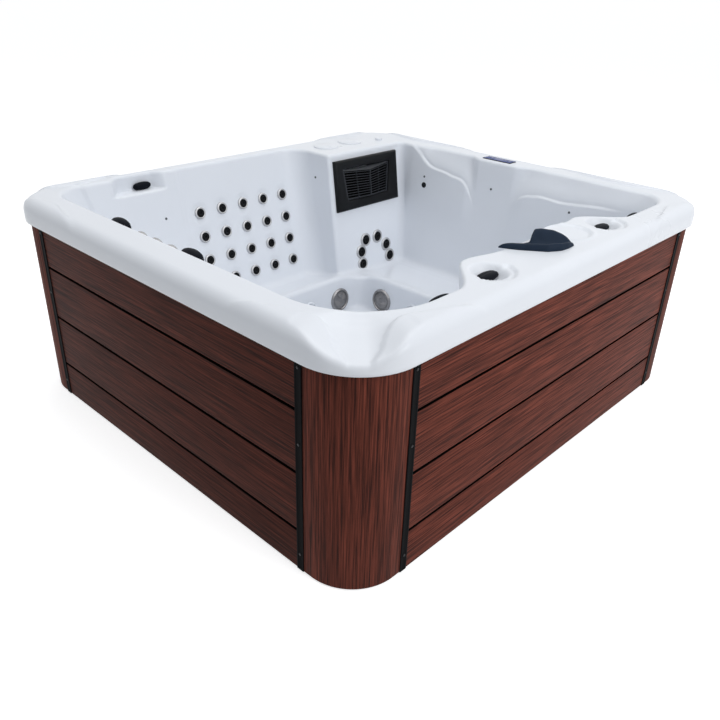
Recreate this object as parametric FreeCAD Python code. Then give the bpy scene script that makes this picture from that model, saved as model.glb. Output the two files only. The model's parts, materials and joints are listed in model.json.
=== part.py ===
import FreeCAD, Part
import math
import os

V = FreeCAD.Vector

# How far a cutting tool or a buried end runs past a face, and how near counts as level
OVER = 1.0
LEVEL = 0.1

# Overall size, in millimetres, with the origin at the bottom centre and +Z up
RIM_X = 2000.0
RIM_Y = 2200.0
RIM_TOP = 842.0
PAD_TOP = 850.0
LIP_BOTTOM = 757.0
RIM_CORNER_R = 215.0
ROLL_R = 48.0
SHELL_T = 9.0
INNER_EDGE_R = 13.0

# The basin: its opening at the rim, how far each wall leans in on the way down to the seats
SEAT_Z = 190.0
FLOOR_Z = 45.0
OPEN_LEFT = -905.0
OPEN_RIGHT = 865.0
OPEN_FRONT = -952.0
OPEN_BACK = 935.0
TOWER_FRONT = -650.0
TOWER_SIDE = 380.0
LEAN_LEFT = 159.0
LEAN_RIGHT = 150.0
LEAN_FRONT = 150.0
LEAN_BACK = 50.0
LEAN_TOWER = 92.0
NEAR_R = 230.0
RIGHT_R = 120.0
LEFT_R = 130.0
TOWER_BACK_R = 36.0
TOWER_LEFT_R = 110.0
TOWER_EDGE_R = 16.0
SEAT_ROUND = 28.0
SEAT_FRONT_ROUND = 22.0
FLOOR_ROUND = 22.0
CUT_OVER = 30.0

# The footwell at seat level
FOOT_LEFT = -505.0
FOOT_RIGHT = 330.0
FOOT_FRONT = -430.0
FOOT_BACK = 490.0
FOOT_R = 80.0
FOOT_LEAN = 15.0

# Raised leaf-shaped pads on the rim: distance from the corner and width, as shares of their own
PAD_START = 60.0
PAD_LENGTH = 500.0
PAD_WIDTH = 78.0
BACK_PAD_LENGTHS = (760.0, 805.0)
PAD_SHAPE = ((0.0, 0.0), (0.24, 0.8), (0.48, 1.0), (0.76, 0.62), (1.0, 0.0))

# The scoop at the near corner of the rim
SCOOP_X = 700.0
SCOOP_Y = -830.0
SCOOP_R = 180.0
SCOOP_FLOOR_R = 100.0
SCOOP_DEPTH = 28.0
SKIN_BURY = 3.0

# The neck shelf on the right wall, and the round dish in it
SHELF_Y = 5.0
SHELF_HALF = 455.0
SHELF_HALF_INNER = 285.0
SHELF_REACH = 112.0
SHELF_FOOT_Z = 560.0
SHELF_FOOT_REACH = 6.0
SHELF_BURY = 26.0
SHELF_R = 120.0
DISH_X = 806.0
DISH_Y = 205.0
DISH_R = 46.0
DISH_DEPTH = 5.0

# Pillow pockets
POCKET_R = 66.0
POCKET_X = 842.0
POCKET_YS = (-340.0, 415.0)
POCKET_FLOOR_Z = 806.0
LEFT_POCKET_Y = -535.0
LEFT_POCKET_LENGTH = 210.0
LEFT_POCKET_BACK = -934.0
LEFT_POCKET_FLOOR_Z = 768.0
LEFT_POCKET_R = 20.0

# Seat backs that stand proud of the back wall, each under a swooping top line (x, z)
BACK_PROUD = 14.0
BACK_BURY = 4.0
SEAT_BACK_FOOT = 300.0
SEAT_BACK_LEFT = (-500.0, 815.0), (-440.0, 768.0), (-285.0, 733.0), (-160.0, 685.0), (-110.0, 600.0)
SEAT_BACK_RIGHT = (92.0, 620.0), (150.0, 698.0), (230.0, 726.0), (400.0, 728.0), (560.0, 755.0)

# Cabinet
OVERHANG = 22.0
CAB_X = RIM_X / 2 - OVERHANG
CAB_Y = RIM_Y / 2 - OVERHANG
CAB_R = 180.0
BOARD_T = 12.0
BOARD_FOOT = 6.0
BOARD_HEAD = 800.0
BOARD_GAPS = (157.0, 373.0, 590.0)
BOARD_GAP = 7.0
BACKING_T = 10.0
STRIP_FROM_CORNER = 225.5
STRIP_W = 29.0
STRIP_WEB = 8.0
STRIP_FLANGE = 3.0
STRIP_PLAY = 0.5
SCREW_HEAD_R = 4.5
SCREW_HEAD_H = 2.0
SCREW_SHANK_R = 2.0
SCREW_HOLE_R = 2.2
SCREW_ZS = (70.0, 480.0, 730.0)

# Frame
TRAY_T = 12.0
TRAY_INSET = 14.0
RAIL = 40.0
RAIL_GAP = 4.5
TOP_RAIL_W = 30.0
POST_SPREAD_X = 620.0
POST_SPREAD_Y = 720.0

# Small wall jets: five columns of four on the left wall, and an arch of six on the tower
JET_COLUMNS = 5
JET_ROWS = 4
JET_FIRST_Y = -269.0
JET_PITCH_Y = 128.0
JET_FIRST_Z = 627.0
JET_DROP_Z = 111.5
ARCH_JETS = ((605.0, 366.0), (699.0, 366.0), (766.0, 308.0), (786.0, 246.0), (566.0, 308.0), (572.0, 248.0))
JET_RING_R = 25.0
JET_BORE_R = 17.8
JET_RING_H = 6.0
JET_RING_ROUND = 2.0
JET_NOZZLE_R = 17.3
JET_NOZZLE_BACK = 14.0
JET_NOZZLE_FRONT = 5.0
JET_NOZZLE_ROUND = 4.0
JET_EYE_R = 5.5
JET_TUBE_R = 20.5
JET_HOLE_R = 21.0
JET_NUT_R = 29.0
JET_NUT_H = 10.0
JET_BODY_BACK = 50.0
DIMPLE_R = 40.0
DIMPLE_DEPTH = 1.5

# Neck jets on the front wall and foot jets in the footwell
NECK_JET_XS = (-240.0, -146.0, -52.0)
NECK_JET_Z = 785.0
NECK_FACE_R = 40.0
NECK_FACE_H = 18.0
FOOT_JETS = (("foot_left", 325.0, 118.0), ("foot_back", -334.0, 118.0))
FOOT_FACE_R = 50.0
FOOT_FACE_H = 14.0
BIG_TUBE_R = 30.0
BIG_HOLE_R = 30.5
BIG_STEM_R = 25.0
BIG_BODY_BACK = 48.0
FACE_LIFT = 0.4
VANES = 6
# A turning face's details, as shares of its radius and of its height
DISH_TOP, DISH_BASE = 0.66, 0.48
VANE_FROM, VANE_TO, VANE_HALF = 0.16, 0.56, 0.04
HUB_R = 0.2
FACE_ROUND, DISH_LEVEL, VANE_FOOT, VANE_TOP, HUB_TOP = 0.45, 0.5, 0.3, 0.8, 0.9
SUCTION = (("foot_left", 110.0, 118.0), ("foot_back", -120.0, 118.0))
SUCTION_R = 46.0
SUCTION_H = 12.0
SUCTION_SLOTS = 5
SUCTION_ROUND = 6.0
SLOT_PITCH = 12.0
SLOT_W = 5.0
SLOT_REACH = 37.0

# Filter in the tower front, in the wall's own frame: along the wall and up its slope
FILTER_Y = 641.0
FILTER_Z = 678.0
BEZEL_W = 470.0
BEZEL_H = 260.0
BEZEL_T = 22.0
BEZEL_R = 12.0
BEZEL_ROUND = 6.5
WINDOW_W = 350.0
WINDOW_H = 158.0
WINDOW_R = 24.0
SLATS = 11
SLAT_T = 5.0
SLAT_DEPTH = 14.0
GRILLE_PLAY = 1.5
GRILLE_FRAME = 8.0
HOUSING_DEPTH = 225.0
HOUSING_T = 4.0
HOUSING_MARGIN = 10.0
FLAP_T = 6.0
FLAP_SETBACK = 30.0
FLAP_PLAY = 8.0
FLAP_TALL = 70.0
CARTRIDGE_R = 64.0
CARTRIDGE_BORE = 24.0
CARTRIDGE_PITCH = 160.0
CARTRIDGE_CAP = 12.0
CARTRIDGE_LIP = 2.0
CARTRIDGE_GAP = 3.0

# Valves on the tower top
DIVERTERS = ((-810.0, 518.0), (-817.0, 703.0))
CAP_R = 65.0
CAP_H = 6.0
CAP_ROUND = 2.4
CAP_GRIP_HALF = 47.0
CAP_GRIP_R = 7.0
CAP_GRIP_ROUND = 2.4
CAP_GRIP_W = 16.0
CAP_GRIP_H = 4.0
AIR_KNOB = (-755.0, 872.0)
KNOB_R = 20.0
KNOB_H = 10.0
KNOB_ROUND = 3.0
KNOB_FLUTES = 12
FLUTE_R = 2.8
FLUTE_AT = 21.2
VALVE_DEPTH = 52.0
VALVE_WIDEN = 1.7
STEM_R = 10.0
STEM_PLAY = 0.4
STEM_REACH = 24.0
STEM_GAP = 2.0
AIR_VALVE_R = 21.0
NECK_WALL = 8.0
NECK_PLAY = 0.5

# Control panel in the dip of the back rim
PANEL_X = -28.0
PANEL_Y = 985.0
PANEL_W = 165.0
PANEL_D = 58.0
PANEL_R = 12.0
PANEL_FLANGE = 3.0
PANEL_BODY_W = 148.0
PANEL_BODY_D = 42.0
PANEL_BODY_DEEP = 26.0
PANEL_PLAY = 1.0
OVERLAY_T = 1.5
OVERLAY_INSET = 2.0
BUTTON_XS = (-64.0, -40.0, 40.0, 64.0)
BUTTON_W = 17.0
BUTTON_D = 26.0
BUTTON_R = 4.0
BUTTON_PLAY = 0.5
BUTTON_PROUD = 1.4
BUTTON_ROUND = 0.7
WELL_DEPTH = 7.0
BUTTON_FLOAT = 2.2
DISPLAY_W = 50.0
DISPLAY_D = 30.0
DISPLAY_T = 1.2
DISPLAY_PLAY = 0.1

# Pillows: length, height and depth
FRONT_PILLOW = (104.0, 62.0, 44.0)
FRONT_PILLOW_XS = (-395.0, 58.0)
FRONT_PILLOW_Z = 797.0
LEFT_PILLOW = (90.0, 36.0, 24.0)
POCKET_PILLOW = (112.0, 46.0, 24.0)
CORNER_PILLOW = (112.0, 56.0, 34.0)
CORNER_PILLOW_YS = (-600.0, 660.0)
CORNER_PILLOW_Z = 800.0
PILLOW_LIFT = 0.4
# A pillow's sections: share of its depth, and share of its full outline there
PILLOW_SECTIONS = (0.0, 0.84), (0.3, 1.0), (0.65, 0.97), (0.9, 0.74), (1.0, 0.5)
PILLOW_OVAL = 0.92
HEADREST_Y = -37.0
HEADREST_BACK = 874.0
HEADREST_HALF = 166.0
HEADREST_SAG = 84.0
HEADREST_THICK = 40.0
HEADREST_TALL = 38.0
HEADREST_STEPS = 7
HEADREST_TAPER = 0.45
HEADREST_LIFT = 0.4
HEADREST_OVAL = 0.7

# Lights and air injectors
LEDS = (("left", -458.0, 637.0), ("seat_back", -446.0, 690.0), ("back", -18.0, 706.0),
        ("seat_back", 437.0, 690.0), ("side", -742.0, 715.0))
LED_R = 6.0
LED_H = 2.5
LED_STEM_R = 4.0
LED_STEM = 26.0
FITTING_ROUND = 0.6
INJECTORS = ((-640.0, -60.0), (-640.0, 130.0), (-640.0, 310.0), (-169.0, 700.0), (60.0, 700.0))
INJECTOR_R = 14.0
INJECTOR_H = 3.0
OZONE_JET = ("seat_back", -443.0, 645.0)
OZONE_R = 15.0

# Machinery under the right-hand seat
PUMP_X = 818.0
PUMP_YS = (-470.0, 330.0)
PUMP_Z = 108.0
MOTOR_R = 68.0
MOTOR_LENGTH = 250.0
MOTOR_FINS = 20
FIN_H = 6.0
FIN_T = 4.0
FIN_ENDS = 38.0
MOTOR_FOOT = (75.0, 175.0)
MOTOR_FOOT_TOP = 54.0
VOLUTE_R = 88.0
VOLUTE_LENGTH = 84.0
VOLUTE_WALL = 8.0
SHAFT_R = 8.0
SHAFT_PLAY = 0.5
SHAFT_IN = 72.0
SHAFT_BORE = 75.0
IMPELLER_R = 66.0
IMPELLER_T = 10.0
IMPELLER_VANES = 6
IMPELLER_VANE_R = 60.0
IMPELLER_VANE_T = 4.0
IMPELLER_VANE_H = 16.0
PUMP_PORT_R = 28.0
PUMP_PORT_WALL = 4.0
PUMP_PORT_LENGTH = 46.0
PUMP_FOOT_W = 150.0
HEATER_X = 520.0
HEATER_R = 34.0
HEATER_LENGTH = 300.0
HEATER_NUT_R = 42.0
HEATER_Z = 110.0
BOX_X = 846.0
BOX_W = 90.0
BOX_LENGTH = 320.0
BOX_TALL = 210.0
BOX_Z = 120.0
BOX_STAND_W = 60.0
BOX_STAND_LENGTH = 256.0
PIPE_R = 25.0
ELBOW_R = 29.0
PIPE_STAND_R = 17.0
PIPE_Z = 100.0
PIPE_LEFT = -600.0
PIPE_FRONT = -560.0
PIPE_BACK = 620.0
PIPE_RIGHT = 420.0

# Drain and supply entry low on the back
DRAIN_X = -520.0
GLAND_X = -400.0
SERVICE_Z = 100.0
SERVICE_HOLE_R = 17.0
SERVICE_TUBE_R = 16.5
SERVICE_REACH = 60.0
DRAIN_FLANGE_R = 30.0
DRAIN_FLANGE_H = 3.0
SPIGOT_R = 13.2
SPIGOT_ROOT_R = 12.6
SPIGOT_STEP = 1.2
SPIGOT_LENGTH = 18.0
SPIGOT_WALL = 4.0
COLLAR_R = 24.0
COLLAR_LENGTH = 8.0
COLLAR_PLAY = 0.4
COLLAR_LUGS = 4
LUG_R = 4.8
GLAND_HEX = 24.0
HEX_SIDES = 6
GLAND_BORE = 7.0
GLAND_NOSE = 16.0

WALL_DROP = RIM_TOP - SEAT_Z
FOOT_DROP = SEAT_Z - FLOOR_Z
FLANGE_TOP = RIM_TOP + PANEL_FLANGE
OVERLAY_TOP = FLANGE_TOP + OVERLAY_T


def box(x0, x1, y0, y1, z0, z1):
    """A box between two corners."""
    return Part.makeBox(x1 - x0, y1 - y0, z1 - z0, V(x0, y0, z0))


def cylinder(r, z0, z1, x=0.0, y=0.0):
    """An upright cylinder between two heights."""
    return Part.makeCylinder(r, z1 - z0, V(x, y, z0))


def tube(r, bore, z0, z1):
    """An upright tube, cut with room to spare at both ends."""
    return cylinder(r, z0, z1).cut(cylinder(bore, z0 - OVER, z1 + OVER))


def rounded_wire(corners, z):
    """A closed outline of lines and arcs through (x, y, radius) corners, level at z."""
    points = [V(x, y, z) for x, y, _ in corners]
    arcs = []
    for i, (_, _, r) in enumerate(corners):
        to_last = points[i - 1] - points[i]
        to_next = points[(i + 1) % len(points)] - points[i]
        to_last.normalize()
        to_next.normalize()
        half = to_last.getAngle(to_next) / 2
        reach = r / math.tan(half)
        inward = to_last + to_next
        inward.normalize()
        middle = points[i] + inward * (r / math.sin(half) - r)
        arcs.append((points[i] + to_last * reach, middle, points[i] + to_next * reach))
    edges = []
    for i, (start, middle, end) in enumerate(arcs):
        edges.append(Part.Arc(start, middle, end).toShape())
        edges.append(Part.LineSegment(end, arcs[(i + 1) % len(arcs)][0]).toShape())
    return Part.Wire(edges)


def rectangle_corners(x0, x1, y0, y1, r):
    """Corners of a rounded rectangle, anticlockwise."""
    return [(x1, y0, r), (x1, y1, r), (x0, y1, r), (x0, y0, r)]


def rounded_box(x0, x1, y0, y1, z0, z1, r):
    """A box with rounded upright edges."""
    outline = rounded_wire(rectangle_corners(x0, x1, y0, y1, r), z0)
    return Part.Face(outline).extrude(V(0, 0, z1 - z0))


def level_edges(shape, z):
    """The edges of a shape that lie level at one height."""
    return [e for e in shape.Edges
            if abs(e.BoundBox.ZMin - z) < LEVEL and abs(e.BoundBox.ZMax - z) < LEVEL]


def round_disc(r, height, edge):
    """A disc standing on z 0 with its top edge rounded."""
    disc = cylinder(r, 0, height)
    return disc.makeFillet(edge, level_edges(disc, height))


def group(shapes):
    """Separate solids kept together in one node."""
    return Part.makeCompound(shapes)


# Places on the walls
def wall_place(wall, along, z):
    """Placement on a wall's face: local x along it, local y up its slope, local z out into the basin."""
    share = (RIM_TOP - z) / WALL_DROP
    foot_share = (SEAT_Z - z) / FOOT_DROP
    back = OPEN_BACK - LEAN_BACK * share
    proud = BACK_PROUD * math.hypot(1, LEAN_BACK / WALL_DROP)
    foot_lean = FOOT_LEAN * foot_share
    east, west, north, south = V(1, 0, 0), V(-1, 0, 0), V(0, 1, 0), V(0, -1, 0)
    spots = {
        "left": (V(OPEN_LEFT + LEAN_LEFT * share, along, z), north, V(-LEAN_LEFT, 0, WALL_DROP)),
        "tower": (V(TOWER_FRONT + LEAN_TOWER * share, along, z), north, V(-LEAN_TOWER, 0, WALL_DROP)),
        "front": (V(along, OPEN_FRONT + LEAN_FRONT * share, z), west, V(0, -LEAN_FRONT, WALL_DROP)),
        "back": (V(along, back, z), east, V(0, LEAN_BACK, WALL_DROP)),
        "seat_back": (V(along, back - proud, z), east, V(0, LEAN_BACK, WALL_DROP)),
        "right": (V(OPEN_RIGHT - LEAN_RIGHT * share, along, z), south, V(LEAN_RIGHT, 0, WALL_DROP)),
        "side": (V(along, TOWER_SIDE, z), east, V(0, 0, 1)),
        "foot_left": (V(FOOT_LEFT + foot_lean, along, z), north, V(-FOOT_LEAN, 0, FOOT_DROP)),
        "foot_back": (V(along, FOOT_BACK - foot_lean, z), east, V(0, FOOT_LEAN, FOOT_DROP)),
        "seat": (V(along, z, SEAT_Z), east, north),
    }
    spot, across, up = spots[wall]
    up.normalize()
    out = across.cross(up)
    return FreeCAD.Placement(spot, FreeCAD.Rotation(across, up, out, "ZXY"))


def on_wall(shape, wall, along, z):
    """A copy of a shape, modelled on z 0, standing on a wall."""
    placed = shape.copy()
    placed.Placement = wall_place(wall, along, z).multiply(shape.Placement)
    return placed


def small_jets():
    """Wall, place along it and height of every small jet."""
    spots = []
    for column in range(JET_COLUMNS):
        for row in range(JET_ROWS):
            spots.append(("left", JET_FIRST_Y + column * JET_PITCH_Y, JET_FIRST_Z - row * JET_DROP_Z))
    return spots + [("tower", y, z) for y, z in ARCH_JETS]


# Acrylic shell
def basin_corners(z, grow):
    """The basin's outline at one height, grown outwards by the wall's thickness for its outer skin."""
    share = (RIM_TOP - z) / WALL_DROP
    left = OPEN_LEFT + LEAN_LEFT * share - grow
    right = OPEN_RIGHT - LEAN_RIGHT * share + grow
    front = OPEN_FRONT + LEAN_FRONT * share - grow
    back = OPEN_BACK - LEAN_BACK * share + grow
    tower_x = TOWER_FRONT + LEAN_TOWER * share - grow
    tower_y = TOWER_SIDE + grow
    return [(right, front, NEAR_R + grow), (right, back, RIGHT_R + grow),
            (tower_x, back, TOWER_BACK_R + grow), (tower_x, tower_y, TOWER_EDGE_R - grow),
            (left, tower_y, TOWER_LEFT_R + grow), (left, front, LEFT_R + grow)]


def foot_corners(z, grow):
    """The footwell's outline at one height."""
    inset = FOOT_LEAN * (SEAT_Z - z) / FOOT_DROP - grow
    return rectangle_corners(FOOT_LEFT + inset, FOOT_RIGHT - inset, FOOT_FRONT + inset, FOOT_BACK - inset,
                             FOOT_R + grow)


def tapered(corners, grow, z_top, z_bottom, bottom_round):
    """A solid between two heights of an outline, rounded along its bottom edge."""
    solid = Part.makeLoft([rounded_wire(corners(z_top, grow), z_top),
                           rounded_wire(corners(z_bottom, grow), z_bottom)], True, True)
    return solid.makeFillet(bottom_round, level_edges(solid, z_bottom))


def basin(z_top, grow):
    """The water space, or with grow the same space out to the shell's outer skin."""
    seat = SEAT_Z - grow
    upper = tapered(basin_corners, grow, z_top, seat, SEAT_ROUND + grow)
    foot = tapered(foot_corners, grow, seat + CUT_OVER, FLOOR_Z - grow, FLOOR_ROUND + grow)
    both = upper.fuse(foot)
    margin = FOOT_R
    seat_front = [e for e in level_edges(both, seat)
                  if e.BoundBox.XMin > FOOT_LEFT - margin and e.BoundBox.XMax < FOOT_RIGHT + margin
                  and e.BoundBox.YMin > FOOT_FRONT - margin and e.BoundBox.YMax < FOOT_BACK + margin]
    return both.makeFillet(SEAT_FRONT_ROUND - grow, seat_front)


def rim_block(inset, top):
    """The rim as a solid block with a rolled outer edge, or inset the hollow under it."""
    half_x = RIM_X / 2 - inset
    half_y = RIM_Y / 2 - inset
    foot = LIP_BOTTOM - inset
    block = rounded_box(-half_x, half_x, -half_y, half_y, foot, top - inset, RIM_CORNER_R - inset)
    return block.makeFillet(ROLL_R - inset, level_edges(block, top - inset))


def leaf_prism(length):
    """One raised pad's plan, along +X from a corner at the origin, inwards along +Y."""
    line = [V(PAD_START + along * length, inward * PAD_WIDTH, 0) for along, inward in PAD_SHAPE]
    curve = Part.BSplineCurve()
    curve.interpolate(line)
    outside = -ROLL_R
    edges = [curve.toShape(),
             Part.LineSegment(line[-1], V(line[-1].x, outside, 0)).toShape(),
             Part.LineSegment(V(line[-1].x, outside, 0), V(line[0].x, outside, 0)).toShape(),
             Part.LineSegment(V(line[0].x, outside, 0), line[0]).toShape()]
    prism = Part.Face(Part.Wire(edges)).extrude(V(0, 0, PAD_TOP - LIP_BOTTOM + CUT_OVER))
    prism.translate(V(0, 0, LIP_BOTTOM + SHELL_T))
    return prism


def rim_pads():
    """Leaf-shaped raised pads beside every corner of the rim."""
    half_x = RIM_X / 2
    half_y = RIM_Y / 2
    prisms = []
    for end, back_length in zip((-1, 1), BACK_PAD_LENGTHS):
        for side in (-1, 1):
            along_x = FreeCAD.Matrix()
            along_x.A11 = -end
            along_x.A22 = -side
            along_x.A14 = end * half_x
            along_x.A24 = side * half_y
            length = back_length if side > 0 else PAD_LENGTH
            prisms.append(leaf_prism(length).transformGeometry(along_x))
            along_y = FreeCAD.Matrix()
            along_y.A11 = 0
            along_y.A22 = 0
            along_y.A12 = -side
            along_y.A21 = -end
            along_y.A14 = side * half_x
            along_y.A24 = end * half_y
            prisms.append(leaf_prism(PAD_LENGTH).transformGeometry(along_y))
    tall = rim_block(0, PAD_TOP).cut(rim_block(SHELL_T, RIM_TOP))
    return [tall.common(prism) for prism in prisms]


def shelf():
    """The neck shelf that swells out of the right wall."""
    foot_wall = OPEN_RIGHT - LEAN_RIGHT * (RIM_TOP - SHELF_FOOT_Z) / WALL_DROP
    sections = []
    for wall, reach, z in ((foot_wall, SHELF_FOOT_REACH, SHELF_FOOT_Z), (OPEN_RIGHT, SHELF_REACH, RIM_TOP)):
        buried = wall + SHELF_BURY
        corners = [(buried, SHELF_Y - SHELF_HALF, OVER), (buried, SHELF_Y + SHELF_HALF, OVER),
                   (wall - reach, SHELF_Y + SHELF_HALF_INNER, SHELF_R),
                   (wall - reach, SHELF_Y - SHELF_HALF_INNER, SHELF_R)]
        sections.append(rounded_wire(corners, z))
    return Part.makeLoft(sections, True, True)


def recesses():
    """The near corner's scoop and the pillow pockets: each with its skin below, then what is cut from it."""
    deep = RIM_TOP - SCOOP_DEPTH
    skin_top = RIM_TOP - SKIN_BURY
    scoop = Part.makeCone(SCOOP_FLOOR_R, SCOOP_R, SCOOP_DEPTH, V(SCOOP_X, SCOOP_Y, deep))
    pairs = [(cylinder(SCOOP_R + SHELL_T, deep - SHELL_T, skin_top, SCOOP_X, SCOOP_Y), scoop)]
    for y in POCKET_YS:
        skin = cylinder(POCKET_R + SHELL_T, POCKET_FLOOR_Z - SHELL_T, skin_top, POCKET_X, y)
        pairs.append((skin, cylinder(POCKET_R, POCKET_FLOOR_Z, PAD_TOP, POCKET_X, y)))
    inside = OPEN_LEFT + LEAN_LEFT / 2
    left_pair = []
    for grow, top in ((SHELL_T, skin_top), (0.0, PAD_TOP)):
        half = LEFT_POCKET_LENGTH / 2 + grow
        left_pair.append(rounded_box(LEFT_POCKET_BACK - grow, inside, LEFT_POCKET_Y - half,
                                     LEFT_POCKET_Y + half, LEFT_POCKET_FLOOR_Z - grow, top,
                                     LEFT_POCKET_R + grow))
    return pairs + [tuple(left_pair)]


def seat_back(top_line):
    """A proud seat back on the back wall, under a smooth top line and down to the seat."""
    line = [V(x, RIM_Y / 2, z) for x, z in top_line]
    curve = Part.BSplineCurve()
    curve.interpolate(line)
    low_left = V(line[0].x, RIM_Y / 2, SEAT_BACK_FOOT)
    low_right = V(line[-1].x, RIM_Y / 2, SEAT_BACK_FOOT)
    edges = [curve.toShape(), Part.LineSegment(line[-1], low_right).toShape(),
             Part.LineSegment(low_right, low_left).toShape(), Part.LineSegment(low_left, line[0]).toShape()]
    prism = Part.Face(Part.Wire(edges)).extrude(V(0, -RIM_Y / 2, 0))
    slab = box(line[0].x, line[-1].x, -WALL_DROP, WALL_DROP, -BACK_BURY, BACK_PROUD)
    slab.Placement = wall_place("back", 0, SEAT_BACK_FOOT)
    return prism.common(slab)


def shell_holes():
    """Every hole through the shell, and the shallow dimples round the left wall's jets."""
    cuts = []
    through = cylinder(JET_HOLE_R, -CUT_OVER, CUT_OVER)
    dimple = Part.makeCone(JET_HOLE_R, DIMPLE_R, DIMPLE_DEPTH, V(0, 0, -DIMPLE_DEPTH))
    for spot in small_jets():
        cuts.append(on_wall(through, *spot))
        if spot[0] == "left":
            cuts.append(on_wall(dimple, *spot))
    big = cylinder(BIG_HOLE_R, -CUT_OVER, CUT_OVER)
    big_spots = [("front", x, NECK_JET_Z) for x in NECK_JET_XS] + list(FOOT_JETS) + list(SUCTION)
    cuts += [on_wall(big, *spot) for spot in big_spots]
    led = cylinder(LED_STEM_R + STRIP_PLAY, -CUT_OVER, CUT_OVER)
    cuts += [on_wall(led, *spot) for spot in LEDS]
    cuts += [on_wall(led, "seat", x, y) for x, y in INJECTORS]
    cuts.append(on_wall(led, *OZONE_JET))
    half_w = WINDOW_W / 2
    half_h = WINDOW_H / 2
    window = rounded_box(-half_w, half_w, -half_h, half_h, -CUT_OVER, CUT_OVER, WINDOW_R)
    cuts.append(on_wall(window, "tower", FILTER_Y, FILTER_Z))
    neck = STEM_R + NECK_WALL + NECK_PLAY
    for x, y in DIVERTERS + (AIR_KNOB,):
        cuts.append(cylinder(neck, RIM_TOP - CUT_OVER, RIM_TOP + CUT_OVER, x, y))
    half_w = PANEL_BODY_W / 2 + PANEL_PLAY
    half_d = PANEL_BODY_D / 2 + PANEL_PLAY
    cuts.append(box(PANEL_X - half_w, PANEL_X + half_w, PANEL_Y - half_d, PANEL_Y + half_d,
                    RIM_TOP - CUT_OVER, RIM_TOP + CUT_OVER))
    return cuts


def tub_shell():
    """The one-piece acrylic shell: rolled rim, walls, seats, filter tower and footwell."""
    space = basin(RIM_TOP + CUT_OVER, 0)
    shell = rim_block(0, RIM_TOP).cut(rim_block(SHELL_T, RIM_TOP))
    shell = shell.fuse(basin(RIM_TOP - SHELL_T / 2, SHELL_T)).cut(space)
    opening = [e for e in level_edges(shell, RIM_TOP)
               if max(abs(e.BoundBox.XMin), abs(e.BoundBox.XMax)) < RIM_X / 2 - ROLL_R - LEVEL
               and max(abs(e.BoundBox.YMin), abs(e.BoundBox.YMax)) < RIM_Y / 2 - ROLL_R - LEVEL]
    shell = shell.makeFillet(INNER_EDGE_R, opening)
    shell = shell.fuse(rim_pads() + [shelf(), seat_back(SEAT_BACK_LEFT), seat_back(SEAT_BACK_RIGHT)])
    pairs = recesses()
    shell = shell.fuse([skin.cut(space) for skin, _ in pairs]).cut([hollow for _, hollow in pairs])
    shell = shell.cut(cylinder(DISH_R, RIM_TOP - DISH_DEPTH, PAD_TOP, DISH_X, DISH_Y))
    return shell.cut(shell_holes())


# Cabinet
def board_bands():
    """Bottom and top height of each board."""
    half = BOARD_GAP / 2
    feet = [BOARD_FOOT] + [gap + half for gap in BOARD_GAPS]
    heads = [gap - half for gap in BOARD_GAPS] + [BOARD_HEAD]
    return list(zip(feet, heads))


def board_half(cabinet_half):
    """Half the length of the boards on a side."""
    return cabinet_half - STRIP_FROM_CORNER - STRIP_WEB / 2 - STRIP_PLAY


def service_holes():
    """Holes for the drain and the supply gland through the back boards and backing."""
    turn = FreeCAD.Rotation(V(1, 0, 0), -90)
    holes = []
    for x in (DRAIN_X, GLAND_X):
        hole = cylinder(SERVICE_HOLE_R, 0, SERVICE_REACH)
        hole.Placement = FreeCAD.Placement(V(x, CAB_Y - SERVICE_REACH + OVER, SERVICE_Z), turn)
        holes.append(hole)
    return holes


def boards(side):
    """Four boards on one side, from the bottom up."""
    half = board_half(CAB_X if side in ("front", "back") else CAB_Y)
    faces = {"front": (-half, half, -CAB_Y, -CAB_Y + BOARD_T),
             "back": (-half, half, CAB_Y - BOARD_T, CAB_Y),
             "right": (CAB_X - BOARD_T, CAB_X, -half, half),
             "left": (-CAB_X, -CAB_X + BOARD_T, -half, half)}
    solids = [box(*faces[side], foot, head) for foot, head in board_bands()]
    if side == "back":
        solids[0] = solids[0].cut(service_holes())
    return group(solids)


def backing_panels():
    """Dark backing boards that close the gaps between the boards, one on each side."""
    half_x = board_half(CAB_X) - STRIP_W / 2
    half_y = board_half(CAB_Y) - STRIP_W / 2
    x1 = CAB_X - BOARD_T
    y1 = CAB_Y - BOARD_T
    heights = (BOARD_FOOT, BOARD_HEAD)
    back = box(-half_x, half_x, y1 - BACKING_T, y1, *heights).cut(service_holes())
    return group([box(-half_x, half_x, -y1, -y1 + BACKING_T, *heights), back,
                  box(x1 - BACKING_T, x1, -half_y, half_y, *heights),
                  box(-x1, -x1 + BACKING_T, -half_y, half_y, *heights)])


def corner_panel(sign_x, sign_y):
    """A rounded corner panel with a short flat on each side."""
    reach = STRIP_FROM_CORNER - STRIP_WEB / 2 - STRIP_PLAY
    outer = rounded_box(-CAB_X, CAB_X, -CAB_Y, CAB_Y, BOARD_FOOT, BOARD_HEAD, CAB_R)
    inner = rounded_box(-CAB_X + BOARD_T, CAB_X - BOARD_T, -CAB_Y + BOARD_T, CAB_Y - BOARD_T,
                        0, BOARD_HEAD + OVER, CAB_R - BOARD_T)
    span_x = sorted((sign_x * CAB_X, sign_x * (CAB_X - reach)))
    span_y = sorted((sign_y * CAB_Y, sign_y * (CAB_Y - reach)))
    return outer.cut(inner).common(box(*span_x, *span_y, 0, BOARD_HEAD))


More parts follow.
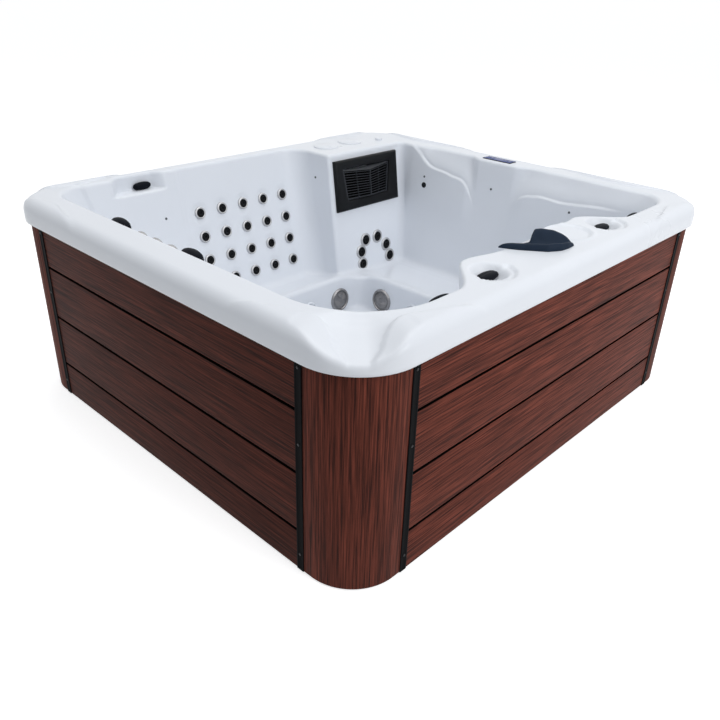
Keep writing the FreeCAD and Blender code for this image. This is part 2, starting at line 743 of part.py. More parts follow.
def strip(top):
    """One upright strip of H section, its outer face towards -Y, drilled for its screws."""
    half = STRIP_W / 2
    web = STRIP_WEB / 2
    body = box(-half, half, -STRIP_FLANGE, 0, BOARD_FOOT, top)
    body = body.fuse(box(-web, web, -OVER, BOARD_T + OVER, BOARD_FOOT, top))
    body = body.fuse(box(-half, half, BOARD_T, BOARD_T + STRIP_FLANGE, BOARD_FOOT, top))
    for z in SCREW_ZS:
        through = BOARD_T + 2 * (STRIP_FLANGE + OVER)
        body = body.cut(Part.makeCylinder(SCREW_HOLE_R, through, V(0, -STRIP_FLANGE - OVER, z), V(0, 1, 0)))
    return body.removeSplitter()


def strip_screw_set():
    """The three screws of one strip, heads outwards."""
    screws = []
    for z in SCREW_ZS:
        top = V(0, -STRIP_FLANGE - SCREW_HEAD_H, z)
        head = Part.makeCylinder(SCREW_HEAD_R, SCREW_HEAD_H, top, V(0, 1, 0))
        crown = [e for e in head.Edges if e.BoundBox.YMax < -STRIP_FLANGE - OVER]
        head = head.makeFillet(SCREW_HEAD_H / 2, crown)
        shank = Part.makeCylinder(SCREW_SHANK_R, BOARD_T + STRIP_FLANGE, V(0, -STRIP_FLANGE - OVER, z),
                                  V(0, 1, 0))
        screws.append(head.fuse(shank))
    return group(screws)


def at_strips(shape):
    """A copy of a shape at each of the eight strips."""
    offset_x = CAB_X - STRIP_FROM_CORNER
    offset_y = CAB_Y - STRIP_FROM_CORNER
    spots = []
    for sign in (-1, 1):
        spots.append((V(sign * offset_x, -CAB_Y, 0), 0))
        spots.append((V(sign * offset_x, CAB_Y, 0), 180))
        spots.append((V(CAB_X, sign * offset_y, 0), 90))
        spots.append((V(-CAB_X, sign * offset_y, 0), -90))
    copies = []
    for spot, angle in spots:
        for solid in shape.Solids:
            placed = solid.copy()
            placed.Placement = FreeCAD.Placement(spot, FreeCAD.Rotation(V(0, 0, 1), angle))
            copies.append(placed)
    return group(copies)


# Frame
def base_tray():
    """The flat tray that the tub stands on."""
    half_x = CAB_X - TRAY_INSET
    half_y = CAB_Y - TRAY_INSET
    inside = BOARD_T + BACKING_T + RAIL_GAP
    low = rounded_box(-half_x, half_x, -half_y, half_y, 0, BOARD_FOOT - OVER, CAB_R - TRAY_INSET)
    high = rounded_box(-CAB_X + inside, CAB_X - inside, -CAB_Y + inside, CAB_Y - inside, 0, TRAY_T,
                       CAB_R - inside)
    return low.fuse(high).removeSplitter()


def rail_lines():
    """Outer half sizes of the ring that the rails follow."""
    inside = BOARD_T + BACKING_T + RAIL_GAP
    return CAB_X - inside, CAB_Y - inside


def frame_rails():
    """Base rails on the tray and top rails under the rim; the left top rail parts at the pillow pocket."""
    x1, y1 = rail_lines()
    end_x = x1 - CAB_R
    end_y = y1 - CAB_R
    under = RIM_TOP - SHELL_T
    rails = []
    for width, low in ((RAIL, TRAY_T), (TOP_RAIL_W, under - RAIL)):
        high = low + RAIL
        rails.append(box(-end_x, end_x, -y1, -y1 + width, low, high))
        rails.append(box(-end_x, end_x, y1 - width, y1, low, high))
        rails.append(box(x1 - width, x1, -end_y, end_y, low, high))
    rails.append(box(-x1, -x1 + RAIL, -end_y, end_y, TRAY_T, TRAY_T + RAIL))
    half = LEFT_POCKET_LENGTH / 2 + 2 * SHELL_T
    for start, end in ((-end_y, LEFT_POCKET_Y - half), (LEFT_POCKET_Y + half, end_y)):
        rails.append(box(-x1, -x1 + TOP_RAIL_W, start, end, under - RAIL, under))
    return group(rails)


def frame_posts():
    """Upright posts between the base rails and the top rails."""
    x1, y1 = rail_lines()
    z0 = TRAY_T + RAIL
    z1 = RIM_TOP - SHELL_T - RAIL
    width = TOP_RAIL_W
    posts = []
    for along in (-POST_SPREAD_X, 0.0, POST_SPREAD_X):
        for low in (-y1, y1 - width):
            posts.append(box(along - RAIL / 2, along + RAIL / 2, low, low + width, z0, z1))
    for along in (-POST_SPREAD_Y, 0.0, POST_SPREAD_Y):
        for low in (-x1, x1 - width):
            posts.append(box(low, low + width, along - RAIL / 2, along + RAIL / 2, z0, z1))
    return group(posts)


# Jets and water fittings
def jet_ring():
    """Polished ring of a small jet."""
    ring = tube(JET_RING_R, JET_BORE_R, 0, JET_RING_H)
    return ring.makeFillet(JET_RING_ROUND, level_edges(ring, JET_RING_H))


def jet_nozzle():
    """Dark eyeball nozzle of a small jet."""
    ball = cylinder(JET_NOZZLE_R, -JET_NOZZLE_BACK, JET_NOZZLE_FRONT)
    ball = ball.makeFillet(JET_NOZZLE_ROUND, level_edges(ball, JET_NOZZLE_FRONT))
    return ball.cut(cylinder(JET_EYE_R, -JET_NOZZLE_BACK - OVER, JET_NOZZLE_FRONT + OVER))


def jet_body(tube_r, bore, back, nut_r):
    """A jet body: a cup through the shell, closed behind, with its nut on the shell's back."""
    cup = cylinder(tube_r, -back, -DIMPLE_DEPTH).cut(cylinder(bore, -back + SHELL_T, OVER))
    nut_face = -SHELL_T - STRIP_PLAY
    nut = tube(nut_r, tube_r - OVER, nut_face - JET_NUT_H, nut_face)
    return cup.fuse(nut)


def turning_face(r, height):
    """A domed steel jet face with raised vanes and a stem that turns in the body."""
    disc = round_disc(r, height, height * FACE_ROUND)
    level = height * DISH_LEVEL
    disc = disc.cut(Part.makeCone(r * DISH_BASE, r * DISH_TOP, height - level, V(0, 0, level)))
    foot = height * VANE_FOOT
    vane = box(r * VANE_FROM, r * VANE_TO, -r * VANE_HALF, r * VANE_HALF, foot, height * VANE_TOP)
    vanes = [vane.rotated(V(0, 0, 0), V(0, 0, 1), i * 360.0 / VANES) for i in range(VANES)]
    hub = cylinder(r * HUB_R, foot, height * HUB_TOP)
    stem = cylinder(BIG_STEM_R - STEM_PLAY, -SHELL_T, OVER)
    face = disc.fuse(vanes + [hub, stem])
    face.translate(V(0, 0, FACE_LIFT))
    return face


def suction_cover():
    """A white suction cover with level slots and a stem through the shell."""
    cover = round_disc(SUCTION_R, SUCTION_H, SUCTION_ROUND)
    for i in range(SUCTION_SLOTS):
        y = (i - (SUCTION_SLOTS - 1) / 2) * SLOT_PITCH
        half = math.sqrt(SLOT_REACH ** 2 - y ** 2)
        slot = box(-half, half, y - SLOT_W / 2, y + SLOT_W / 2, SUCTION_H / 2, SUCTION_H + OVER)
        cover = cover.cut(slot)
    return cover.fuse(cylinder(BIG_TUBE_R, -BIG_BODY_BACK, OVER))


def button_fitting(r, height):
    """A small domed fitting with a thin stem through the shell."""
    return round_disc(r, height, height * FITTING_ROUND).fuse(cylinder(LED_STEM_R, -LED_STEM, OVER))


# Filter
def window_box(margin, z0, z1):
    """A block with the filter window's outline, grown or drawn in by a margin."""
    half_w = WINDOW_W / 2 + margin
    half_h = WINDOW_H / 2 + margin
    return rounded_box(-half_w, half_w, -half_h, half_h, z0, z1, WINDOW_R + margin)


def filter_bezel():
    """The broad frame round the filter window."""
    half_w = BEZEL_W / 2
    half_h = BEZEL_H / 2
    plate = rounded_box(-half_w, half_w, -half_h, half_h, 0, BEZEL_T, BEZEL_R)
    plate = plate.makeFillet(BEZEL_ROUND, level_edges(plate, BEZEL_T))
    return on_wall(plate.cut(window_box(0, -OVER, BEZEL_T + OVER)), "tower", FILTER_Y, FILTER_Z)


def filter_grille():
    """Louvred grille in the window, with a middle bar."""
    inside = window_box(-GRILLE_PLAY - GRILLE_FRAME, -OVER, SLAT_DEPTH + OVER)
    frame = window_box(-GRILLE_PLAY, 0, SLAT_DEPTH).cut(inside)
    half_w = WINDOW_W / 2 - GRILLE_PLAY - GRILLE_FRAME / 2
    half_h = WINDOW_H / 2 - GRILLE_PLAY - GRILLE_FRAME / 2
    bars = [box(-SLAT_T / 2, SLAT_T / 2, -half_h, half_h, 0, SLAT_DEPTH)]
    pitch = 2 * half_h / (SLATS + 1)
    for i in range(SLATS):
        y = -half_h + (i + 1) * pitch
        bars.append(box(-half_w, half_w, y - SLAT_T / 2, y + SLAT_T / 2, 0, SLAT_DEPTH))
    return on_wall(frame.fuse(bars).removeSplitter(), "tower", FILTER_Y, FILTER_Z)


def filter_housing():
    """Open-fronted box behind the tower wall."""
    front = -SHELL_T - STRIP_PLAY
    outer = window_box(HOUSING_MARGIN + HOUSING_T, -HOUSING_DEPTH, front)
    inner = window_box(HOUSING_MARGIN, -HOUSING_DEPTH + HOUSING_T, OVER)
    return on_wall(outer.cut(inner), "tower", FILTER_Y, FILTER_Z)


def weir_flap():
    """Floating weir flap, hinged along its bottom edge behind the grille."""
    half_w = WINDOW_W / 2 - FLAP_PLAY
    bottom = -WINDOW_H / 2
    hinge = Part.makeCylinder(FLAP_T / 2, 2 * half_w, V(-half_w, bottom, -FLAP_SETBACK), V(1, 0, 0))
    leaf = box(-half_w, half_w, bottom, bottom + FLAP_TALL, -FLAP_SETBACK - FLAP_T / 2,
               -FLAP_SETBACK + FLAP_T / 2)
    return on_wall(hinge.fuse(leaf).removeSplitter(), "tower", FILTER_Y, FILTER_Z)


def filter_cartridges():
    """Two filter cartridges side by side, upright in the housing."""
    half_h = WINDOW_H / 2 + HOUSING_MARGIN - OVER
    depth = -HOUSING_DEPTH + HOUSING_T + CARTRIDGE_R + CARTRIDGE_GAP
    solids = []
    for side in (-1, 1):
        media = tube(CARTRIDGE_R, CARTRIDGE_BORE, -half_h, half_h)
        for low in (-half_h, half_h - CARTRIDGE_CAP):
            media = media.fuse(tube(CARTRIDGE_R + CARTRIDGE_LIP, CARTRIDGE_BORE, low, low + CARTRIDGE_CAP))
        media = media.removeSplitter()
        media.rotate(V(0, 0, 0), V(1, 0, 0), -90)
        media.translate(V(side * CARTRIDGE_PITCH / 2, 0, depth))
        solids += on_wall(group([media]), "tower", FILTER_Y, FILTER_Z).Solids
    return group(solids)


# Valves on the tower
def valve_body(x, y, r):
    """A valve body under the rim with a bored neck through it."""
    under = RIM_TOP - SHELL_T - STRIP_PLAY
    body = cylinder(r, under - VALVE_DEPTH, under, x, y)
    neck = cylinder(STEM_R + NECK_WALL, under - OVER, RIM_TOP, x, y)
    bore = cylinder(STEM_R + STEM_PLAY, RIM_TOP - STEM_REACH - STEM_GAP, RIM_TOP + OVER, x, y)
    return body.fuse(neck).cut(bore)


def valve_bodies():
    """Two diverter bodies and the smaller air valve."""
    width = (STEM_R + NECK_WALL) * VALVE_WIDEN
    bodies = [valve_body(x, y, width) for x, y in DIVERTERS]
    return group(bodies + [valve_body(*AIR_KNOB, AIR_VALVE_R)])


def diverter_cap(x, y):
    """A low round cap with a finger ridge and a stem down into its valve."""
    cap = round_disc(CAP_R, CAP_H, CAP_ROUND)
    top = CAP_H + CAP_GRIP_H
    half_w = CAP_GRIP_W / 2
    ridge = rounded_box(-CAP_GRIP_HALF, CAP_GRIP_HALF, -half_w, half_w, CAP_H - OVER, top, CAP_GRIP_R)
    ridge = ridge.makeFillet(CAP_GRIP_ROUND, level_edges(ridge, top))
    whole = cap.fuse([ridge, cylinder(STEM_R, -STEM_REACH, OVER)])
    whole.translate(V(x, y, RIM_TOP + FACE_LIFT))
    return whole


def air_knob():
    """Small air control knob with flutes round its edge."""
    knob = round_disc(KNOB_R, KNOB_H, KNOB_ROUND)
    flute = cylinder(FLUTE_R, -OVER, KNOB_H + OVER, FLUTE_AT)
    flutes = [flute.rotated(V(0, 0, 0), V(0, 0, 1), i * 360.0 / KNOB_FLUTES) for i in range(KNOB_FLUTES)]
    knob = knob.cut(flutes).fuse(cylinder(STEM_R, -STEM_REACH, OVER))
    knob.translate(V(*AIR_KNOB, RIM_TOP + FACE_LIFT))
    return knob


# Control panel
def panel_block(half_w, half_d, z0, z1, r):
    """A rounded block centred on the control panel."""
    return rounded_box(PANEL_X - half_w, PANEL_X + half_w, PANEL_Y - half_d, PANEL_Y + half_d, z0, z1, r)


def button_block(dx, margin, z0, z1):
    """The outline of one button, grown by a margin."""
    half_w = BUTTON_W / 2 + margin
    half_d = BUTTON_D / 2 + margin
    x = PANEL_X + dx
    return rounded_box(x - half_w, x + half_w, PANEL_Y - half_d, PANEL_Y + half_d, z0, z1, BUTTON_R + margin)


def display_block(margin, z0, z1):
    """The display window's outline."""
    return panel_block(DISPLAY_W / 2 + margin, DISPLAY_D / 2 + margin, z0, z1, BUTTON_R)


def control_housing():
    """Panel housing through the rim, with a flange on top and a well under each button."""
    body = box(PANEL_X - PANEL_BODY_W / 2, PANEL_X + PANEL_BODY_W / 2, PANEL_Y - PANEL_BODY_D / 2,
               PANEL_Y + PANEL_BODY_D / 2, RIM_TOP - PANEL_BODY_DEEP, RIM_TOP + OVER)
    flange = panel_block(PANEL_W / 2, PANEL_D / 2, RIM_TOP, FLANGE_TOP, PANEL_R)
    well_floor = FLANGE_TOP - WELL_DEPTH
    wells = [button_block(dx, BUTTON_PLAY, well_floor, FLANGE_TOP + OVER) for dx in BUTTON_XS]
    return body.fuse(flange).cut(wells).removeSplitter()


def control_overlay():
    """Thin dark face sheet with holes for the buttons and the display."""
    sheet = panel_block(PANEL_W / 2 - OVERLAY_INSET, PANEL_D / 2 - OVERLAY_INSET, FLANGE_TOP, OVERLAY_TOP,
                        PANEL_R - OVERLAY_INSET)
    span = (FLANGE_TOP - OVER, OVERLAY_TOP + OVER)
    holes = [button_block(dx, BUTTON_PLAY, *span) for dx in BUTTON_XS]
    return sheet.cut(holes + [display_block(DISPLAY_PLAY, *span)])


def control_button(dx):
    """One push button, standing a little proud of the overlay."""
    low = FLANGE_TOP - WELL_DEPTH + BUTTON_FLOAT
    high = OVERLAY_TOP + BUTTON_PROUD
    button = button_block(dx, 0, low, high)
    return button.makeFillet(BUTTON_ROUND, level_edges(button, high))


# Pillows
def pillow(length, height, depth):
    """An oval pillow: drawn in where it meets the wall, full in the middle, crowned in front."""
    sections = []
    for share, size in PILLOW_SECTIONS:
        half_l = length / 2 * size
        half_h = height / 2 * size
        corners = rectangle_corners(-half_l, half_l, -half_h, half_h, half_h * PILLOW_OVAL)
        sections.append(rounded_wire(corners, PILLOW_LIFT + depth * share))
    return Part.makeLoft(sections, True, False)


def left_pillow():
    """Pillow standing on the floor of the left pocket, against the pocket's back."""
    placed = pillow(*LEFT_PILLOW)
    spot = V(LEFT_POCKET_BACK, LEFT_POCKET_Y, LEFT_POCKET_FLOOR_Z + LEFT_PILLOW[1] / 2 + PILLOW_LIFT)
    placed.Placement = FreeCAD.Placement(spot, FreeCAD.Rotation(V(0, 1, 0), V(0, 0, 1), V(1, 0, 0), "ZXY"))
    return placed


def front_pillows():
    """Two pillows hung at the top of the front wall."""
    return group([on_wall(pillow(*FRONT_PILLOW), "front", x, FRONT_PILLOW_Z) for x in FRONT_PILLOW_XS])


def pocket_pillows():
    """Two small pillows lying in the round pockets on the right."""
    placed = []
    for y in POCKET_YS:
        one = pillow(*POCKET_PILLOW)
        spot = V(POCKET_X - SHELL_T, y, POCKET_FLOOR_Z)
        one.Placement = FreeCAD.Placement(spot, FreeCAD.Rotation(V(0, 0, 1), 90))
        placed.append(one)
    return group(placed)


def corner_pillows():
    """Two pillows at the top of the right wall, one by each of its corners."""
    return group([on_wall(pillow(*CORNER_PILLOW), "right", y, CORNER_PILLOW_Z) for y in CORNER_PILLOW_YS])


def neck_headrest():
    """Curved neck rest on the shelf: its two wings come round towards the basin."""
    radius = (HEADREST_HALF ** 2 + HEADREST_SAG ** 2) / (2 * HEADREST_SAG)
    spread = math.degrees(math.asin(HEADREST_HALF / radius))
    sections = []
    for i in range(HEADREST_STEPS):
        share = 2.0 * i / (HEADREST_STEPS - 1) - 1.0
        size = 1.0 - HEADREST_TAPER * share ** 4
        half_t = HEADREST_THICK / 2 * size
        tall = HEADREST_TALL * size
        lift = RIM_TOP + PILLOW_LIFT + (HEADREST_TALL - tall) * HEADREST_LIFT
        wire = rounded_wire(rectangle_corners(-half_t, half_t, 0, tall, half_t * HEADREST_OVAL), 0)
        wire.rotate(V(0, 0, 0), V(1, 0, 0), 90)
        wire.translate(V(radius - HEADREST_THICK / 2, 0, lift))
        wire.rotate(V(0, 0, 0), V(0, 0, 1), share * spread)
        wire.translate(V(HEADREST_BACK - radius, HEADREST_Y, 0))
        sections.append(wire)
    return Part.makeLoft(sections, True, False)


# Machinery
def pump_turn(shape, y):
    """A pump piece, modelled along +Z, laid along +Y at one pump's place."""
    laid = shape.copy()
    laid.rotate(V(0, 0, 0), V(1, 0, 0), -90)
    laid.translate(V(PUMP_X, y, PUMP_Z))
    return laid


def pump_motor(y):
    """Ribbed motor with a foot on the tray and a bore for the impeller's shaft."""
    body = cylinder(MOTOR_R, 0, MOTOR_LENGTH)
    fin = box(MOTOR_R - OVER, MOTOR_R + FIN_H, -FIN_T / 2, FIN_T / 2, FIN_ENDS, MOTOR_LENGTH - FIN_ENDS)
    fins = [fin.rotated(V(0, 0, 0), V(0, 0, 1), i * 360.0 / MOTOR_FINS) for i in range(MOTOR_FINS)]
    body = body.fuse(fins).cut(cylinder(SHAFT_R + SHAFT_PLAY, -OVER, SHAFT_BORE))
    half = PUMP_FOOT_W / 2
    foot_start, foot_end = MOTOR_FOOT
    foot = box(PUMP_X - half, PUMP_X + half, y + foot_start, y + foot_end, TRAY_T, MOTOR_FOOT_TOP)
    return pump_turn(body, y).fuse(foot)


def pump_wet_end(y):
    """Hollow volute in front of the motor, with its inlet ahead."""
    port_end = -VOLUTE_LENGTH - PUMP_PORT_LENGTH
    floor = -VOLUTE_LENGTH + VOLUTE_WALL
    outer = cylinder(VOLUTE_R, -VOLUTE_LENGTH, -STRIP_PLAY)
    port = cylinder(PUMP_PORT_R, port_end, -VOLUTE_LENGTH + OVER)
    hollow = cylinder(VOLUTE_R - VOLUTE_WALL, floor, -VOLUTE_WALL)
    bore = cylinder(PUMP_PORT_R - PUMP_PORT_WALL, port_end - OVER, floor + OVER)
    shaft_hole = cylinder(SHAFT_R + SHAFT_PLAY, -VOLUTE_WALL - OVER, OVER)
    return pump_turn(outer.fuse(port).cut([hollow, bore, shaft_hole]), y)


def pump_impeller(y):
    """Vaned impeller on the shaft that runs in the motor."""
    middle = -VOLUTE_LENGTH / 2
    half_t = IMPELLER_VANE_T / 2
    disc = cylinder(IMPELLER_R, middle - IMPELLER_T / 2, middle + IMPELLER_T / 2)
    vane = box(SHAFT_R / 2, IMPELLER_VANE_R, -half_t, half_t, middle - IMPELLER_VANE_H, middle)
    vanes = [vane.rotated(V(0, 0, 0), V(0, 0, 1), i * 360.0 / IMPELLER_VANES) for i in range(IMPELLER_VANES)]
    shaft = cylinder(SHAFT_R, middle - IMPELLER_VANE_H - OVER, SHAFT_IN)
    return pump_turn(disc.fuse(vanes + [shaft]), y)


def heater():
    """Flow-through heater tube between two union nuts, on two saddles."""
    half = HEATER_LENGTH / 2
    body = Part.makeCylinder(HEATER_R, HEATER_LENGTH, V(HEATER_X, -half, HEATER_Z), V(0, 1, 0))
    nuts = [Part.makeCylinder(HEATER_NUT_R, RAIL, V(HEATER_X, end, HEATER_Z), V(0, 1, 0))
            for end in (-half - RAIL / 2, half - RAIL / 2)]
    saddles = [box(HEATER_X - HEATER_R, HEATER_X + HEATER_R, end - RAIL / 2, end + RAIL / 2, TRAY_T, HEATER_Z)
               for end in (-half / 2, half / 2)]
    return body.fuse(nuts + saddles)


def control_box():
    """Sealed control box on a stand behind the right-hand boards."""
    half = BOX_LENGTH / 2
    case = rounded_box(BOX_X - BOX_W / 2, BOX_X + BOX_W / 2, -half, half, BOX_Z, BOX_Z + BOX_TALL, SHELL_T)
    half_w = BOX_STAND_W / 2
    half = BOX_STAND_LENGTH / 2
    stand = box(BOX_X - half_w, BOX_X + half_w, -half, half, TRAY_T, BOX_Z + OVER)
    return case.fuse(stand)


def water_pipes():
    """Supply loop round the footwell under the seats: straight runs with ball elbows, on short stands."""
    spots = [V(PIPE_RIGHT, PIPE_FRONT, PIPE_Z), V(PIPE_LEFT, PIPE_FRONT, PIPE_Z),
             V(PIPE_LEFT, PIPE_BACK, PIPE_Z), V(PIPE_RIGHT, PIPE_BACK, PIPE_Z)]
    pieces = []
    for start, end in zip(spots, spots[1:]):
        run = end - start
        pieces.append(Part.makeCylinder(PIPE_R, run.Length, start, run))
    pieces += [Part.makeSphere(ELBOW_R, spot) for spot in spots]
    pieces += [cylinder(PIPE_STAND_R, TRAY_T, PIPE_Z, spot.x, spot.y) for spot in spots]
    return pieces[0].fuse(pieces[1:])


# Drain and supply entry
def back_turn(shape, x):
    """A piece modelled along +Z from the boards' face, laid to point out of the back."""
    laid = shape.copy()
    laid.rotate(V(0, 0, 0), V(1, 0, 0), -90)
    laid.translate(V(x, CAB_Y, SERVICE_Z))
    return laid


def drain_valve():
    """Drain body through the back boards: a flange, a root that the collar runs on, then the hose spigot."""
    tip = DRAIN_FLANGE_H + SPIGOT_LENGTH
    grip = DRAIN_FLANGE_H + COLLAR_PLAY + COLLAR_LENGTH + SPIGOT_STEP
    body = cylinder(SERVICE_TUBE_R, -SERVICE_REACH, OVER).fuse(cylinder(DRAIN_FLANGE_R, 0, DRAIN_FLANGE_H))
    root = cylinder(SPIGOT_ROOT_R, DRAIN_FLANGE_H - OVER, grip + OVER)
    body = body.fuse([root, cylinder(SPIGOT_R, grip, tip)])
    bore = cylinder(SPIGOT_R - SPIGOT_WALL, -SERVICE_REACH + SHELL_T, tip + OVER)
    return back_turn(body.cut(bore), DRAIN_X)


def drain_collar():
    """Twist collar round the spigot that opens the drain."""
    low = DRAIN_FLANGE_H + COLLAR_PLAY
    high = low + COLLAR_LENGTH
    lug = cylinder(LUG_R, low, high, COLLAR_R)
    lugs = [lug.rotated(V(0, 0, 0), V(0, 0, 1), i * 360.0 / COLLAR_LUGS) for i in range(COLLAR_LUGS)]
    collar = cylinder(COLLAR_R, low, high).fuse(lugs)
    return back_turn(collar.cut(cylinder(SPIGOT_R + COLLAR_PLAY, 0, high + OVER)), DRAIN_X)


def cable_gland():
    """Supply gland through the back boards, bored right through, with a hexagon outside."""
    angles = [math.tau * i / HEX_SIDES for i in range(HEX_SIDES + 1)]
    hexagon = Part.makePolygon([V(GLAND_HEX * math.cos(a), GLAND_HEX * math.sin(a), 0) for a in angles])
    body = Part.Face(Part.Wire(hexagon)).extrude(V(0, 0, GLAND_NOSE / 2))
    body = body.fuse(cylinder(SERVICE_TUBE_R, -SERVICE_REACH, GLAND_NOSE))
    return back_turn(body.cut(cylinder(GLAND_BORE, -SERVICE_REACH - OVER, GLAND_NOSE + OVER)), GLAND_X)


def numbered(name, shapes):
    """Names for repeated pieces, counted from one."""
    return {f"{name}_{i}": shape for i, shape in enumerate(shapes, 1)}


def build():
    """Every node of the hot tub."""
    jets = small_jets()
    big_spots = [("front", x, NECK_JET_Z) for x in NECK_JET_XS]
    big_body = jet_body(BIG_TUBE_R, BIG_STEM_R, BIG_BODY_BACK, NECK_FACE_R)
    neck_face = turning_face(NECK_FACE_R, NECK_FACE_H)
    foot_face = turning_face(FOOT_FACE_R, FOOT_FACE_H)
    led = button_fitting(LED_R, LED_H)
    injector = button_fitting(INJECTOR_R, INJECTOR_H)
    small_body = jet_body(JET_TUBE_R, JET_BORE_R, JET_BODY_BACK, JET_NUT_R)
    nodes = {
        "tub_shell": tub_shell(),
        "base_tray": base_tray(),
        "frame_rails": frame_rails(),
        "frame_posts": frame_posts(),
        "backing_panels": backing_panels(),
        "near_corner_panel": corner_panel(1, -1),
        "right_corner_panel": corner_panel(1, 1),
        "far_corner_panel": corner_panel(-1, 1),
        "left_corner_panel": corner_panel(-1, -1),
        "trim_strips": at_strips(strip(BOARD_HEAD)),
        "strip_screws": at_strips(strip_screw_set()),
        "wall_jet_bodies": group([on_wall(small_body, *spot) for spot in jets]),
        "wall_jet_rings": group([on_wall(jet_ring(), *spot) for spot in jets]),
        "wall_jet_nozzles": group([on_wall(jet_nozzle(), *spot) for spot in jets]),
        "neck_jet_bodies": group([on_wall(big_body, *spot) for spot in big_spots]),
        "foot_jet_bodies": group([on_wall(big_body, *spot) for spot in FOOT_JETS]),
        "suction_covers": group([on_wall(suction_cover(), *spot) for spot in SUCTION]),
        "filter_housing": filter_housing(),
        "filter_bezel": filter_bezel(),
        "filter_grille": filter_grille(),
        "weir_flap": weir_flap(),
        "filter_cartridges": filter_cartridges(),
        "valve_bodies": valve_bodies(),
        "air_knob": air_knob(),
        "control_housing": control_housing(),
        "control_overlay": control_overlay(),
        "display_window": display_block(0, FLANGE_TOP, FLANGE_TOP + DISPLAY_T),
        "left_pillow": left_pillow(),
        "front_pillows": front_pillows(),
        "pocket_pillows": pocket_pillows(),
        "corner_pillows": corner_pillows(),
        "neck_headrest": neck_headrest(),
        "wall_lights": group([on_wall(led, *spot) for spot in LEDS]),
        "air_injectors": group([on_wall(injector, "seat", x, y) for x, y in INJECTORS]),
        "ozone_jet": on_wall(button_fitting(OZONE_R, INJECTOR_H), *OZONE_JET),
        "pump_motors": group([pump_motor(y) for y in PUMP_YS]),
        "pump_wet_ends": group([pump_wet_end(y) for y in PUMP_YS]),
        "heater": heater(),
        "control_box": control_box(),
        "water_pipes": water_pipes(),
        "drain_valve": drain_valve(),
        "drain_collar": drain_collar(),
        "cable_gland": cable_gland(),
    }
    for side in ("front", "right", "back", "left"):
        nodes[f"{side}_boards"] = boards(side)
    nodes.update(numbered("neck_jet_face", [on_wall(neck_face, *spot) for spot in big_spots]))
    nodes.update(numbered("foot_jet_face", [on_wall(foot_face, *spot) for spot in FOOT_JETS]))
    nodes.update(numbered("diverter_cap", [diverter_cap(x, y) for x, y in DIVERTERS]))
    nodes.update(numbered("control_button", [control_button(dx) for dx in BUTTON_XS]))
    nodes.update(numbered("pump_impeller", [pump_impeller(y) for y in PUMP_YS]))
    return nodes


os.makedirs("parts", exist_ok=True)
for name, shape in build().items():
    shape.exportStep(f"parts/{name}.step")
    print(name, len(shape.Solids), "valid" if shape.isValid() else "not valid")
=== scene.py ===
import json
import math
import bpy
import numpy as np
from bpy.props import FloatProperty, FloatVectorProperty, PointerProperty
from mathutils import Matrix, Vector


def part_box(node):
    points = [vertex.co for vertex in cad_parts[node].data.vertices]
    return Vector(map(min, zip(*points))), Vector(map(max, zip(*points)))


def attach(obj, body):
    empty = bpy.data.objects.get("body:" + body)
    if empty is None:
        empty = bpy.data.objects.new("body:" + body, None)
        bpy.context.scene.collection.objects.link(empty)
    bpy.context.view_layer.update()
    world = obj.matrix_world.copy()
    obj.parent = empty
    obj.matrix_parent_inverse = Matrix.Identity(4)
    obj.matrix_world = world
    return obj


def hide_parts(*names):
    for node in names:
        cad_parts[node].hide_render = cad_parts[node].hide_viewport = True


bl_info = {
    "name": "Hot tub",
    "version": (1, 0, 0),
    "blender": (4, 5, 0),
    "location": "3D View > Sidebar > Hot tub",
    "description": "Builds a rectangular hot tub with a moulded shell in a woodgrain cabinet",
    "category": "Object",
}

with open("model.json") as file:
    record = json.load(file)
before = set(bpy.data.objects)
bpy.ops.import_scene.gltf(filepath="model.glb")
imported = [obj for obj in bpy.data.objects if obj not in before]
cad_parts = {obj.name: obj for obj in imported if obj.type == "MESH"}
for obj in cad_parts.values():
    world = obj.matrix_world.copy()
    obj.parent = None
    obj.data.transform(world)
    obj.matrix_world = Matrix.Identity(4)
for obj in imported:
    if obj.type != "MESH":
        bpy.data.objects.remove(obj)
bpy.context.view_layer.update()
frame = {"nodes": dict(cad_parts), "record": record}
ROOT = "tub"

# Main levels, read from the frame
SHELL_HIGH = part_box("tub_shell")[1]
HALF_X = SHELL_HIGH.x
HALF_Y = SHELL_HIGH.y
CABINET_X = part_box("right_boards")[1].x
CABINET_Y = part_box("back_boards")[1].y
BOARD_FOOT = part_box("front_boards")[0].z
BOARD_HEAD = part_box("front_boards")[1].z

# The basin's opening at the rim, and how far each wall leans in on its way down to the seats
OPEN_LEFT, OPEN_RIGHT, OPEN_FRONT, OPEN_BACK = -0.905, 0.865, -0.952, 0.935
TOWER_FRONT, TOWER_SIDE = -0.650, 0.380
LEAN_LEFT, LEAN_RIGHT, LEAN_FRONT, LEAN_BACK, LEAN_TOWER = 0.159, 0.150, 0.150, 0.050, 0.092
NEAR_R, RIGHT_R, TOWER_BACK_R, TOWER_EDGE_R, TOWER_LEFT_R, LEFT_R = 0.300, 0.120, 0.036, 0.016, 0.110, 0.130
FOOT_LEFT, FOOT_RIGHT, FOOT_FRONT, FOOT_BACK = -0.505, 0.330, -0.430, 0.490
FOOT_R, FOOT_LEAN = 0.080, 0.015

# Rounded edges at the foot of the walls and round the footwell
SEAT_ROUND, FOOT_ROUND = 0.028, 0.022

# Seats: the lip round the footwell, which dips at its corners and ends at LIP_FLOOR, and the height over which it fades
LIP_RISE, LIP_SPREAD, LIP_DIP, LIP_DIP_R, LIP_FLOOR, LIP_SHOULDER = 0.050, 0.100, 0.55, 0.080, 0.060, 0.012
SEAT_FADE = 0.060

